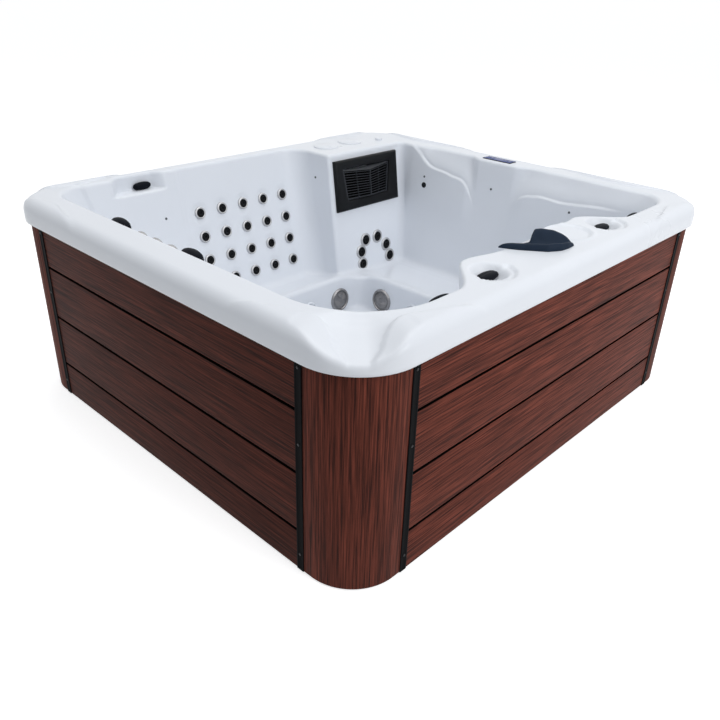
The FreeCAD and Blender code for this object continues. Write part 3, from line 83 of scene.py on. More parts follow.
# Ridges between the seats: middle, half-widths and height
SEAT_RIDGES = ((-0.640, -0.370, 0.150, 0.045, 0.034), (0.200, 0.700, 0.045, 0.170, 0.034),
               (0.530, 0.060, 0.170, 0.045, 0.034), (-0.080, -0.620, 0.045, 0.150, 0.034),
               (0.540, -0.640, 0.110, 0.110, 0.030), (0.540, 0.690, 0.110, 0.110, 0.030))

# Mesh columns on each corner, then on the wall after it, anticlockwise from the near corner
WALLS = ("right", "back", "tower", "side", "left", "front")
CORNER_COLUMNS = (64, 24, 10, 8, 20, 20)
WALL_COLUMNS = (184, 146, 24, 8, 104, 76)

# The outer lip, behind and in front of its lower edge: inset from the outline and height above the lip's bottom
LIP_BACK = ((0.012, 0.004), (0.010, 0.0))
LIP_FRONT = ((0.002, 0.0), (0.0, 0.002), (0.0, 0.015))

# Leaf-shaped pads on the rim: axis they lie along, end and side of the tub, length, width and depth of their groove
PAD_START, PAD_EDGE, PAD_STEP, PAD_DROP, PAD_FOOT = 0.060, 0.003, 0.008, 0.05, 0.02
GROOVE_WIDTH, GROOVE_FADE = 0.007, 0.3
PADS = (("x", 1, -1, 0.480, 0.118, 1.40), ("y", -1, 1, 0.480, 0.118, 1.40),
        ("x", -1, -1, 0.500, 0.080, 0.0), ("x", -1, 1, 0.760, 0.078, 0.0),
        ("x", 1, 1, 0.805, 0.078, 0.0), ("y", 1, 1, 0.500, 0.080, 0.0),
        ("y", -1, -1, 0.500, 0.080, 0.0), ("y", 1, -1, 0.500, 0.080, 0.0))
PAD_SHAPE = ((0.0, 0.08, 0.19, 0.29, 0.375, 0.46, 0.56, 0.67, 0.77, 0.875, 1.0),
             (0.20, 0.42, 0.58, 0.83, 0.98, 1.0, 0.85, 0.68, 0.53, 0.32, 0.0))

# The spout in the near corner, along its diagonal from the outer edge: heights, length and half-width
SPOUT_TIP, SPOUT_LIP, SPOUT_RISE, SPOUT_LENGTH = (0.937, -1.037), 0.786, 0.033, 0.190
SPOUT_HALF, SPOUT_TAPER, SPOUT_EDGE = 0.205, 0.36, 0.014
# Stretch of its front side, its flat share, and how it climbs past its sides and its inner end
SPOUT_FRONT, SPOUT_FLAT, SPOUT_SHOULDER, SPOUT_BACK, SPOUT_CURVE = 0.88, 0.10, 0.10, 0.030, 4.5
SPOUT_BLEND = 0.012

# Hollows pressed into the rim: centre, radius and floor height
POCKETS = ((0.842, -0.340), (0.842, 0.415))
POCKET_R, POCKET_FLOOR, POCKET_STEP = 0.066, 0.806, 0.008
DISH_AT, DISH_R, DISH_FLOOR, DISH_BEAD = (0.806, 0.205), 0.088, 0.837, 0.004
HOLLOW_LIFT, HOLLOW_CLEAR = 0.05, 3.0
LEFT_POCKET_Y, LEFT_POCKET_HALF, LEFT_POCKET_BACK, LEFT_POCKET_FLOOR = -0.552, 0.136, -0.934, 0.768
LEFT_POCKET_SOFT, LEFT_POCKET_EDGE = 0.060, 0.010
LEFT_PILLOW_Y, LEFT_PILLOW_LIFT = -0.520, 0.0185

# The neck shelf on the right wall and the proud seat backs on the back wall
SHELF_Y, SHELF_HALF, SHELF_INNER, SHELF_REACH, SHELF_FOOT = 0.020, 0.560, 0.350, 0.112, 0.560
SHELF_LOBES, LOBE_WIDTH, SHELF_SWEEP = ((-0.310, 0.033), (0.205, 0.040), (0.415, 0.033)), 0.095, 0.8
SEAT_BACKS = (((-0.620, -0.500, -0.440, -0.285, -0.160, -0.110), (0.880, 0.815, 0.768, 0.733, 0.685, 0.600)),
              ((0.092, 0.150, 0.230, 0.400, 0.560, 0.720), (0.620, 0.698, 0.726, 0.728, 0.745, 0.752)))
SEAT_BACK_FOOT, SEAT_BACK_RUN, SEAT_BACK_FOLD = 0.420, 0.200, 0.008
SEAT_BACK_START, SEAT_BACK_END, SEAT_BACK_FADE = 0.090, 0.070, 0.200
FOLD_STEPS, FOLD_REACH, FOLD_LIMITS = (0.009, 0.004, 0.0, -0.004, -0.009, -0.014), 0.014, (0.60, 0.80)
RECESS, RECESS_SOFT = 0.028, 0.120

# The left wall's crease and the hollows round its jets
CREASE_Y, CREASE_RISE, CREASE_SOFT = -0.340, 0.006, 0.030
DIMPLE_R, DIMPLE_SOFT = 0.030, 0.016

# Cabinet: heights of the gaps between boards, room beside the strips and under the spout, and the screws' heights
BOARD_GAPS = (0.157, 0.373, 0.590)
STRIP_ROOM, SPOUT_ROOM = 0.0045, 0.006
SCREW_HEIGHTS = (0.070, 0.480, 0.730)

# Where the fittings stand: wall, place along it and height
JET_COLUMNS, JET_ROWS = 5, 4
JET_FIRST_Y, JET_PITCH_Y, JET_FIRST_Z, JET_DROP_Z = -0.269, 0.128, 0.627, 0.1115
ARCH_JETS = ((0.605, 0.366), (0.699, 0.366), (0.766, 0.308), (0.790, 0.240), (0.566, 0.308), (0.570, 0.240))
ARCH_SCALE = 1.28
NECK_JETS = tuple(("front", x, 0.785) for x in (-0.240, -0.146, -0.052))
FOOT_JETS = (("foot_left", 0.325, 0.118), ("foot_back", -0.334, 0.118))
SUCTION = (("foot_left", 0.110, 0.118), ("foot_back", -0.120, 0.118))
LIGHTS = (("left", -0.458, 0.637), ("seat_back", -0.446, 0.690), ("back", -0.018, 0.706),
          ("seat_back", 0.437, 0.690), ("side", -0.742, 0.715))
OZONE_JET = ("seat_back", -0.443, 0.645)
INJECTORS = ((-0.640, -0.060), (-0.640, 0.130), (-0.640, 0.310), (-0.169, 0.700), (0.060, 0.700))
FILTER_AT = ("tower", 0.641, 0.678)
FILTER_SIZE, WINDOW_SIZE, WINDOW_TAPER = (0.470, 0.260), (0.350, 0.158), 0.020
GRILLE_SLATS, GRILLE_BOW, CHEVRON, GRILLE_ROOM, GRILLE_BACK = 11, 0.028, 0.014, 0.0035, 0.008
DIVERTERS = ((-0.810, 0.518), (-0.817, 0.703))
CAP_RADIUS, CAP_HEIGHT = 0.065, 0.006
AIR_KNOB = (-0.755, 0.872)

# Room between a seated piece and the surface under it
SEATED = 0.0004

# Share of the wood colour on boards along X and along Y and on the upright corner panels: painted light and shade,
# darker on the front and back boards, lighter on the side boards and the corner panels
WOOD_PAINTED_LIGHT = {"x": 0.64, "y": 1.28, "z": 1.10}
WOOD_RAMP = (0.37, 0.66)

# Photograph's camera: direction, roll, place and focal length
CAMERA_AZIMUTH, CAMERA_ELEVATION, CAMERA_ROLL = 43.07, 28.07, 1.78
CAMERA_AT, CAMERA_LENS = (2.045, -2.219, 1.673), 36.557

# Stage: strength of the sky, glow of the floor, and each lamp's name, place, size and power
SKY_STRENGTH, FLOOR_GLOW = 0.36, 0.68
LAMPS = (("key", (5.0, 0.2, 3.6), 3.0, 132), ("fill", (-1.8, -5.0, 3.6), 3.5, 20), ("top", (-0.6, 0.6, 5.4), 4.0, 106))
LAMP_AIM = (0, 0, 0.4)


class ShellSizes(bpy.types.PropertyGroup):
    """Sizes of the moulded shell."""

    rim_top: FloatProperty(name="Rim height", description="Top of the rim above the ground",
                           default=0.842, unit="LENGTH")
    pad_height: FloatProperty(name="Pad height", description="How far the leaf pads stand above the rim",
                              default=SHELL_HIGH.z - 0.842, unit="LENGTH")
    lip_bottom: FloatProperty(name="Lip", description="Bottom of the outer lip", default=0.757, unit="LENGTH")
    roll_radius: FloatProperty(name="Roll", description="Radius of the rolled outer edge",
                               default=0.048, unit="LENGTH")
    corner_radius: FloatProperty(name="Corner", description="Radius of the rim's corners in plan",
                                 default=0.215, unit="LENGTH")
    inner_round: FloatProperty(name="Inner edge", description="Radius of the edge into the basin",
                               default=0.014, unit="LENGTH")
    seat_height: FloatProperty(name="Seat", description="Height of the seats", default=0.190, unit="LENGTH")
    floor_height: FloatProperty(name="Floor", description="Height of the footwell", default=0.045, unit="LENGTH")
    thickness: FloatProperty(name="Wall", description="Thickness of the shell", default=0.009, unit="LENGTH")
    dimple: FloatProperty(name="Dimple", description="Depth of the dimple round each wall jet",
                          default=0.0045, unit="LENGTH")
    proud: FloatProperty(name="Seat back", description="How far the seat backs stand off the back wall",
                         default=0.010, unit="LENGTH")


class CabinetSizes(bpy.types.PropertyGroup):
    """Sizes of the cabinet."""

    board_gap: FloatProperty(name="Gap", description="Dark gap between boards", default=0.010, unit="LENGTH")
    board_thickness: FloatProperty(name="Board", description="Board thickness", default=0.012, unit="LENGTH")
    board_edge: FloatProperty(name="Board edge", description="Rounding of board edges",
                              default=0.0015, unit="LENGTH")
    corner_radius: FloatProperty(name="Corner", description="Radius of the corner panels",
                                 default=0.180, unit="LENGTH")
    strip_width: FloatProperty(name="Strip", description="Width of the upright strips", default=0.029, unit="LENGTH")
    strip_from_corner: FloatProperty(name="Strip place", description="Strip centre from the cabinet's corner",
                                     default=0.2255, unit="LENGTH")
    strip_proud: FloatProperty(name="Strip height", description="How far strips stand off the boards",
                               default=0.003, unit="LENGTH")


class TubColours(bpy.types.PropertyGroup):
    """Main colours."""

    acrylic: FloatVectorProperty(name="Acrylic", description="Shell", subtype="COLOR", size=4,
                                 default=(0.80, 0.83, 0.88, 1.0))
    wood_dark: FloatVectorProperty(name="Dark grain", description="Dark streaks of the boards", subtype="COLOR",
                                   size=4, default=(0.012, 0.0034, 0.0026, 1.0))
    wood_light: FloatVectorProperty(name="Light grain", description="Light streaks of the boards", subtype="COLOR",
                                    size=4, default=(0.215, 0.053, 0.033, 1.0))
    black: FloatVectorProperty(name="Black", description="Strips, filter and nozzles", subtype="COLOR", size=4,
                               default=(0.009, 0.010, 0.012, 1.0))
    pillow: FloatVectorProperty(name="Pillows", description="Small pillows", subtype="COLOR", size=4,
                                default=(0.0052, 0.0066, 0.0105, 1.0))
    headrest: FloatVectorProperty(name="Headrest", description="Winged headrest", subtype="COLOR", size=4,
                                  default=(0.017, 0.027, 0.046, 1.0))
    steel: FloatVectorProperty(name="Steel", description="Polished fittings", subtype="COLOR", size=4,
                               default=(0.36, 0.36, 0.37, 1.0))
    panel: FloatVectorProperty(name="Panel", description="Control panel", subtype="COLOR", size=4,
                               default=(0.006, 0.015, 0.070, 1.0))
    floor: FloatVectorProperty(name="Floor", description="Studio floor", subtype="COLOR", size=4,
                               default=(0.86, 0.86, 0.86, 1.0))


def shell_sizes():
    """The shell's sizes as the user set them."""
    return bpy.context.scene.tub_shell_sizes


def cabinet_sizes():
    """The cabinet's sizes as the user set them."""
    return bpy.context.scene.tub_cabinet_sizes


def colours():
    """The colours as the user set them."""
    return bpy.context.scene.tub_colours


# Modelling helpers
def clear_selection():
    """Object mode, with nothing selected."""
    if bpy.context.object and bpy.context.object.mode != "OBJECT":
        bpy.ops.object.mode_set(mode="OBJECT")
    bpy.ops.object.select_all(action="DESELECT")


def take(piece):
    """Makes one piece the only selected one."""
    clear_selection()
    piece.select_set(True)
    bpy.context.view_layer.objects.active = piece


def apply_modifiers(piece):
    """Applies every modifier on a piece, in order."""
    take(piece)
    for modifier in list(piece.modifiers):
        bpy.ops.object.modifier_apply(modifier=modifier.name)


def bevel(piece, width, segments=3, angle=30):
    """Rounds a piece's sharp edges."""
    modifier = piece.modifiers.new("Rounded edges", "BEVEL")
    modifier.width = width
    modifier.segments = segments
    modifier.limit_method = "ANGLE"
    modifier.angle_limit = math.radians(angle)
    apply_modifiers(piece)


def settle(piece):
    """Moves a piece's place into its mesh."""
    take(piece)
    bpy.ops.object.transform_apply(location=True, rotation=True, scale=True)


def block(name, low, high, edge, segments=3):
    """A block between two corners with rounded edges."""
    low, high = Vector(low), Vector(high)
    clear_selection()
    bpy.ops.mesh.primitive_cube_add(size=1, location=(low + high) / 2)
    piece = bpy.context.object
    piece.name = name
    piece.scale = high - low
    settle(piece)
    if edge:
        bevel(piece, edge, segments)
    return piece


def mesh_piece(name, points, faces, edges=()):
    """A new piece from points and faces, linked into the scene."""
    mesh = bpy.data.meshes.new(name)
    mesh.from_pydata([tuple(p) for p in points], list(edges), list(faces))
    mesh.update()
    piece = bpy.data.objects.new(name, mesh)
    bpy.context.scene.collection.objects.link(piece)
    return piece


def tidy_normals(piece):
    """Merges doubles and turns every face outwards."""
    take(piece)
    bpy.ops.object.mode_set(mode="EDIT")
    bpy.ops.mesh.select_all(action="SELECT")
    bpy.ops.mesh.remove_doubles(threshold=0.00001)
    bpy.ops.mesh.normals_make_consistent(inside=False)
    bpy.ops.object.mode_set(mode="OBJECT")


def spun(name, profile, steps=32):
    """A round piece: a profile of (radius, height) points spun about the Z axis."""
    chain = [(i, i + 1) for i in range(len(profile) - 1)]
    piece = mesh_piece(name, [(r, 0, z) for r, z in profile], [], chain)
    take(piece)
    bpy.ops.object.mode_set(mode="EDIT")
    bpy.ops.mesh.select_all(action="SELECT")
    bpy.ops.mesh.spin(steps=steps, angle=math.tau, center=(0, 0, 0), axis=(0, 0, 1))
    bpy.ops.object.mode_set(mode="OBJECT")
    tidy_normals(piece)
    return piece


def join(name, pieces):
    """Several pieces as one."""
    clear_selection()
    for piece in pieces:
        piece.select_set(True)
    bpy.context.view_layer.objects.active = pieces[0]
    if len(pieces) > 1:
        bpy.ops.object.join()
    pieces[0].name = name
    return pieces[0]


def copies(model, places):
    """A copy of a piece at each place, each with its own mesh."""
    made = []
    for place in places:
        copy = model.copy()
        copy.data = model.data.copy()
        copy.data.transform(place)
        bpy.context.scene.collection.objects.link(copy)
        made.append(copy)
    bpy.data.objects.remove(model)
    return made


def dress(piece, material, nodes, body=ROOT, angle=40):
    """Gives a piece its material and shading, hides the frame's parts it stands for, and sets what it moves with."""
    piece.data.materials.clear()
    piece.data.materials.append(material)
    take(piece)
    bpy.ops.object.shade_smooth_by_angle(angle=math.radians(angle))
    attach(piece, body)
    if nodes:
        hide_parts(*nodes)
    return piece


def smooth(value):
    """Soft step from 0 to 1."""
    share = np.clip(value, 0.0, 1.0)
    return share * share * (3 - 2 * share)


def soft_min(first, second, width):
    """The lower of two heights, with a rounded change between them."""
    share = np.clip(0.5 + 0.5 * (second - first) / width, 0.0, 1.0)
    return second * (1 - share) + first * share - width * share * (1 - share)


def smooth_line(xs, zs, at):
    """A smooth line through points, read at given places."""
    xs, zs = np.array(xs), np.array(zs)
    slopes = np.gradient(zs, xs)
    at = np.clip(at, xs[0], xs[-1])
    i = np.clip(np.searchsorted(xs, at) - 1, 0, len(xs) - 2)
    width = xs[i + 1] - xs[i]
    t = (at - xs[i]) / width
    return ((1 + 2 * t) * (1 - t) ** 2 * zs[i] + t * (1 - t) ** 2 * width * slopes[i]
            + t * t * (3 - 2 * t) * zs[i + 1] + t * t * (t - 1) * width * slopes[i + 1])


# Places on the walls
def wall_place(wall, along, z):
    """Matrix of a place on a wall: local x along it, local y up its slope, local z out into the basin."""
    sizes = shell_sizes()
    drop = sizes.rim_top - sizes.seat_height
    foot_drop = sizes.seat_height - sizes.floor_height
    share = (sizes.rim_top - z) / drop
    back = OPEN_BACK - LEAN_BACK * share
    proud = sizes.proud * math.hypot(1, LEAN_BACK / drop)
    foot = FOOT_LEAN * (sizes.seat_height - z) / foot_drop
    east, west, north = Vector((1, 0, 0)), Vector((-1, 0, 0)), Vector((0, 1, 0))
    spots = {
        "left": ((OPEN_LEFT + LEAN_LEFT * share, along, z), north, (-LEAN_LEFT, 0, drop)),
        "tower": ((TOWER_FRONT + LEAN_TOWER * share, along, z), north, (-LEAN_TOWER, 0, drop)),
        "front": ((along, OPEN_FRONT + LEAN_FRONT * share, z), west, (0, -LEAN_FRONT, drop)),
        "back": ((along, back, z), east, (0, LEAN_BACK, drop)),
        "seat_back": ((along, back - proud, z), east, (0, LEAN_BACK, drop)),
        "right": ((OPEN_RIGHT - LEAN_RIGHT * share, along, z), -north, (LEAN_RIGHT, 0, drop)),
        "side": ((along, TOWER_SIDE, z), east, (0, 0, 1)),
        "foot_left": ((FOOT_LEFT + foot, along, z), north, (-FOOT_LEAN, 0, foot_drop)),
        "foot_back": ((along, FOOT_BACK - foot, z), east, (0, FOOT_LEAN, foot_drop)),
        "seat": ((along, z, sizes.seat_height + float(seat_rise(along, z, sizes.seat_height))), east, north),
    }
    spot, across, up = spots[wall]
    up = Vector(up).normalized()
    out = across.cross(up)
    place = Matrix((across, up, out)).transposed().to_4x4()
    place.translation = spot
    return place


def small_jets():
    """Wall, place along it and height of every small jet."""
    grid = [("left", JET_FIRST_Y + column * JET_PITCH_Y, JET_FIRST_Z - row * JET_DROP_Z)
            for column in range(JET_COLUMNS) for row in range(JET_ROWS)]
    return grid + [("tower", y, z) for y, z in ARCH_JETS]


# Shader helpers
def toned(colour, share):
    """A colour made darker or lighter."""
    return [channel * share for channel in colour[:3]] + [1.0]


def new_material(name):
    """A node material and its main shader."""
    material = bpy.data.materials.new(name)
    material.use_nodes = True
    return material, material.node_tree, material.node_tree.nodes["Principled BSDF"]


def add_node(tree, kind, **values):
    """A node with its properties and input values set."""
    node = tree.nodes.new(kind)
    for key, value in values.items():
        if key in node.inputs:
            node.inputs[key].default_value = value
        else:
            setattr(node, key, value)
    return node


def group_ends(tree):
    """A group's own input and output nodes."""
    return tree.nodes.new("NodeGroupInput"), tree.nodes.new("NodeGroupOutput")


def new_group(name, inputs, outputs):
    """A shader group with named sockets."""
    tree = bpy.data.node_groups.new(name, "ShaderNodeTree")
    for label, kind, value in inputs:
        socket = tree.interface.new_socket(name=label, in_out="INPUT", socket_type=kind)
        if value is not None:
            socket.default_value = value
    for label, kind in outputs:
        tree.interface.new_socket(name=label, in_out="OUTPUT", socket_type=kind)
    return tree


def mix_colours(tree, factor, first, second):
    """A colour mix driven by a socket, between two colours or sockets."""
    mix = add_node(tree, "ShaderNodeMix", data_type="RGBA")
    tree.links.new(factor, mix.inputs["Factor"])
    for socket, value in ((mix.inputs[6], first), (mix.inputs[7], second)):
        if isinstance(value, bpy.types.NodeSocket):
            tree.links.new(value, socket)
        else:
            socket.default_value = value
    return mix.outputs[2]


def spread(tree, value, low, high):
    """Maps a 0 to 1 value onto a range."""
    node = add_node(tree, "ShaderNodeMapRange")
    node.inputs["To Min"].default_value = low
    node.inputs["To Max"].default_value = high
    tree.links.new(value, node.inputs["Value"])
    return node.outputs["Result"]


def surface_group():
    """Soft cloudy variation and fine texture, shared by the moulded finishes."""
    found = bpy.data.node_groups.get("Moulded surface")
    if found:
        return found
    number = "NodeSocketFloat"
    tree = new_group("Moulded surface", [("Vector", "NodeSocketVector", None), ("Cloud scale", number, 4.0),
                                         ("Fine scale", number, 300.0)],
                     [("Cloud", number), ("Fine", number)])
    start, end = group_ends(tree)
    cloud = add_node(tree, "ShaderNodeTexNoise", Detail=4.0, Roughness=0.55)
    fine = add_node(tree, "ShaderNodeTexNoise", Detail=2.0, Roughness=0.6)
    for node, scale, label in ((cloud, "Cloud scale", "Cloud"), (fine, "Fine scale", "Fine")):
        tree.links.new(start.outputs["Vector"], node.inputs["Vector"])
        tree.links.new(start.outputs[scale], node.inputs["Scale"])
        tree.links.new(node.outputs["Fac"], end.inputs[label])
    return tree


def grain_group():
    """Long wood streaks, fine pores and broad bands along local X."""
    found = bpy.data.node_groups.get("Wood grain")
    if found:
        return found
    number = "NodeSocketFloat"
    tree = new_group("Wood grain", [("Vector", "NodeSocketVector", None)],
                     [("Streak", number), ("Band", number), ("Pore", number)])
    start, end = group_ends(tree)
    layers = (("Streak", (4.0, 190.0, 190.0), 6.0, 0.60, 0.30), ("Band", (1.1, 18.0, 18.0), 3.0, 0.5, 0.5),
              ("Pore", (7.0, 420.0, 420.0), 2.0, 0.6, 0.0))
    for label, stretch, detail, rough, bend in layers:
        mapping = add_node(tree, "ShaderNodeMapping", Scale=stretch)
        noise = add_node(tree, "ShaderNodeTexNoise", Scale=1.0, Detail=detail, Roughness=rough, Distortion=bend)
        tree.links.new(start.outputs["Vector"], mapping.inputs["Vector"])
        tree.links.new(mapping.outputs["Vector"], noise.inputs["Vector"])
        tree.links.new(noise.outputs["Fac"], end.inputs[label])
    return tree


def placed_group(tree, group, **values):
    """A group in a material, read on object coordinates."""
    node = add_node(tree, "ShaderNodeGroup", node_tree=group)
    for key, value in values.items():
        node.inputs[key.replace("_", " ").capitalize()].default_value = value
    coordinates = tree.nodes.new("ShaderNodeTexCoord")
    tree.links.new(coordinates.outputs["Object"], node.inputs["Vector"])
    return node


def bump(tree, shader, height, strength, distance):
    """Roughens a surface's normal from a height."""
    node = add_node(tree, "ShaderNodeBump", Strength=strength, Distance=distance)
    tree.links.new(height, node.inputs["Height"])
    tree.links.new(node.outputs["Normal"], shader.inputs["Normal"])


def moulded(name, colour, tint=0.12, rough=(0.28, 0.4), cloud_scale=4.0, fine_scale=300.0, grain=0.12,
            coat=0.0, metallic=0.0, gloss=0.5):
    """A moulded or cast finish: cloudy colour and gloss, with a fine texture."""
    found = bpy.data.materials.get(name)
    if found:
        return found
    material, tree, shader = new_material(name)
    surface = placed_group(tree, surface_group(), cloud_scale=cloud_scale, fine_scale=fine_scale)
    lighter = [min(1.0, channel) for channel in toned(colour, 1 + tint)]
    cloudy = mix_colours(tree, surface.outputs["Cloud"], toned(colour, 1 - tint), lighter)
    tree.links.new(cloudy, shader.inputs["Base Color"])
    tree.links.new(spread(tree, surface.outputs["Cloud"], *rough), shader.inputs["Roughness"])
    shader.inputs["Metallic"].default_value = metallic
    shader.inputs["Coat Weight"].default_value = coat
    shader.inputs["Specular IOR Level"].default_value = gloss
    bump(tree, shader, surface.outputs["Fine"], grain, 0.0006)
    return material


def woodgrain_lit(axis):
    """Red-brown woodgrain with the grain along one axis, made darker or lighter for each axis with painted light and
    shade.
    """
    name = f"woodgrain_{axis}"
    found = bpy.data.materials.get(name)
    if found:
        return found
    material, tree, shader = new_material(name)
    grain = placed_group(tree, grain_group())
    turn = {"x": (0, 0, 0), "y": (0, 0, -math.pi / 2), "z": (0, math.pi / 2, 0)}[axis]
    mapping = add_node(tree, "ShaderNodeMapping", Rotation=turn)
    coordinates = grain.inputs["Vector"].links[0].from_socket
    tree.links.new(coordinates, mapping.inputs["Vector"])
    tree.links.new(mapping.outputs["Vector"], grain.inputs["Vector"])
    ramp = tree.nodes.new("ShaderNodeValToRGB")
    # Painted light and shade: the grain's colours are darkened or lightened for the side of the cabinet they are on.
    dark, light = (toned(colour, WOOD_PAINTED_LIGHT[axis]) for colour in (colours().wood_dark, colours().wood_light))
    for element, position, colour in zip(ramp.color_ramp.elements, WOOD_RAMP, (dark, light)):
        element.position = position
        element.color = colour
    tree.links.new(grain.outputs["Streak"], ramp.inputs["Fac"])
    band = spread(tree, grain.outputs["Band"], 0.0, 0.32)
    banded = mix_colours(tree, band, ramp.outputs["Color"], [0.5 * (a + b) for a, b in zip(dark, light)])
    pore = spread(tree, grain.outputs["Pore"], -0.6, 1.0)
    tree.links.new(mix_colours(tree, pore, banded, toned(dark, 0.45)), shader.inputs["Base Color"])
    tree.links.new(spread(tree, grain.outputs["Streak"], 0.74, 0.58), shader.inputs["Roughness"])
    shader.inputs["Specular IOR Level"].default_value = 0.10
    bump(tree, shader, grain.outputs["Streak"], 0.3, 0.0008)
    return material


def acrylic():
    """Glossy pearl-white acrylic."""
    return moulded("pearl_acrylic", colours().acrylic, tint=0.03, rough=(0.24, 0.34), cloud_scale=2.2,
                   fine_scale=70.0, grain=0.03, coat=0.04, gloss=0.26)


def black_plastic():
    """Satin black plastic."""
    return moulded("satin_black", colours().black, tint=0.3, rough=(0.36, 0.5), fine_scale=900.0, grain=0.2,
                   gloss=0.2)


def gap_shade_black():
    """Dull black, painted shade for deep gaps."""
    return moulded("gap_shade_black", (0.003, 0.003, 0.003, 1), rough=(0.8, 0.95), gloss=0.0)


def white_plastic():
    """Glossy white plastic fittings."""
    return moulded("white_fittings", colours().acrylic, tint=0.04, rough=(0.26, 0.36), cloud_scale=9.0, coat=0.04,
                   gloss=0.26)


def polished_steel():
    """Polished stainless steel."""
    return moulded("polished_steel", colours().steel, tint=0.12, rough=(0.18, 0.34), cloud_scale=40.0,
                   fine_scale=1200.0, grain=0.08, metallic=1.0)


def satin_steel():
    """Brushed steel with a broad soft sheen."""
    return moulded("satin_steel", (0.52, 0.52, 0.53, 1), tint=0.1, rough=(0.38, 0.52), cloud_scale=60.0,
                   fine_scale=1500.0, grain=0.1, metallic=0.85)


def shaded_steel():
    """Brushed steel darkened with painted shade, for the faces low in the footwell."""
    return moulded("shaded_steel", (0.30, 0.295, 0.30, 1), tint=0.22, rough=(0.34, 0.48), cloud_scale=55.0,
                   fine_scale=1500.0, grain=0.12, metallic=0.9)


# Shell
def basin_corners(z):
    """The basin's outline at one height, as corners with radii."""
    sizes = shell_sizes()
    share = (sizes.rim_top - z) / (sizes.rim_top - sizes.seat_height)
    left = OPEN_LEFT + LEAN_LEFT * share
    right = OPEN_RIGHT - LEAN_RIGHT * share
    front = OPEN_FRONT + LEAN_FRONT * share
    back = OPEN_BACK - LEAN_BACK * share
    tower = TOWER_FRONT + LEAN_TOWER * share
    return ((right, front, NEAR_R), (right, back, RIGHT_R), (tower, back, TOWER_BACK_R),
            (tower, TOWER_SIDE, TOWER_EDGE_R), (left, TOWER_SIDE, TOWER_LEFT_R), (left, front, LEFT_R))


def rounded_ring(corners):
    """Points round an outline, with the same count on each corner and wall at every height."""
    tips = [Vector((x, y)) for x, y, _ in corners]
    spans = []
    for i, (_, _, radius) in enumerate(corners):
        behind = (tips[i - 1] - tips[i]).normalized()
        ahead = (tips[(i + 1) % len(tips)] - tips[i]).normalized()
        half = behind.angle(ahead) / 2
        centre = tips[i] + (behind + ahead).normalized() * (radius / math.sin(half))
        reach = radius / math.tan(half)
        spans.append((centre, tips[i] + behind * reach, tips[i] + ahead * reach, radius))
    ring = []
    for i, (centre, start, end, radius) in enumerate(spans):
        first = math.atan2(start.y - centre.y, start.x - centre.x)
        last = math.atan2(end.y - centre.y, end.x - centre.x)
        sweep = (last - first + math.pi) % math.tau - math.pi
        for k in range(CORNER_COLUMNS[i]):
            angle = first + sweep * k / CORNER_COLUMNS[i]
            ring.append((centre.x + radius * math.cos(angle), centre.y + radius * math.sin(angle)))
        following = spans[(i + 1) % len(spans)][1]
        for k in range(WALL_COLUMNS[i]):
            spot = end.lerp(following, k / WALL_COLUMNS[i])
            ring.append((spot.x, spot.y))
    return np.array(ring)


def column_walls():
    """The name of the wall that each mesh column is on, or nothing on a corner."""
    names = []
    for corner, wall, name in zip(CORNER_COLUMNS, WALL_COLUMNS, WALLS):
        names += [""] * corner + [name] * wall
    return np.array(names)


def inward(ring):
    """Level direction into the basin at each point of a ring."""
    along = np.roll(ring, -1, axis=0) - np.roll(ring, 1, axis=0)
    turned = np.stack([-along[:, 1], along[:, 0]], axis=1)
    return turned / np.linalg.norm(turned, axis=1, keepdims=True)


def fold_heights(ring, wall):
    """Height of the seat backs' top line in each mesh column, where rings are laid closest together."""
    x = ring[:, 0]
    (left_x, left_z), (right_x, right_z) = SEAT_BACKS
    between = np.interp(x, (left_x[-1], right_x[0]), (left_z[-1], right_z[0]))
    line = np.where(x < left_x[-1], smooth_line(left_x, left_z, x), between)
    line = np.where(x > right_x[0], smooth_line(right_x, right_z, x), line)
    line = np.where(wall == "back", line, np.where(x > 0, right_z[-1], LEFT_POCKET_FLOOR))
    return np.clip(line, *FOLD_LIMITS)


def back_share(wall):
    """Share of the back wall's recess in each column, which fades round the right-hand corner."""
    share = np.where(wall == "back", 1.0, 0.0)
    first = CORNER_COLUMNS[0] + WALL_COLUMNS[0]
    share[first:first + CORNER_COLUMNS[1]] = smooth(np.arange(CORNER_COLUMNS[1]) / CORNER_COLUMNS[1])
    return share


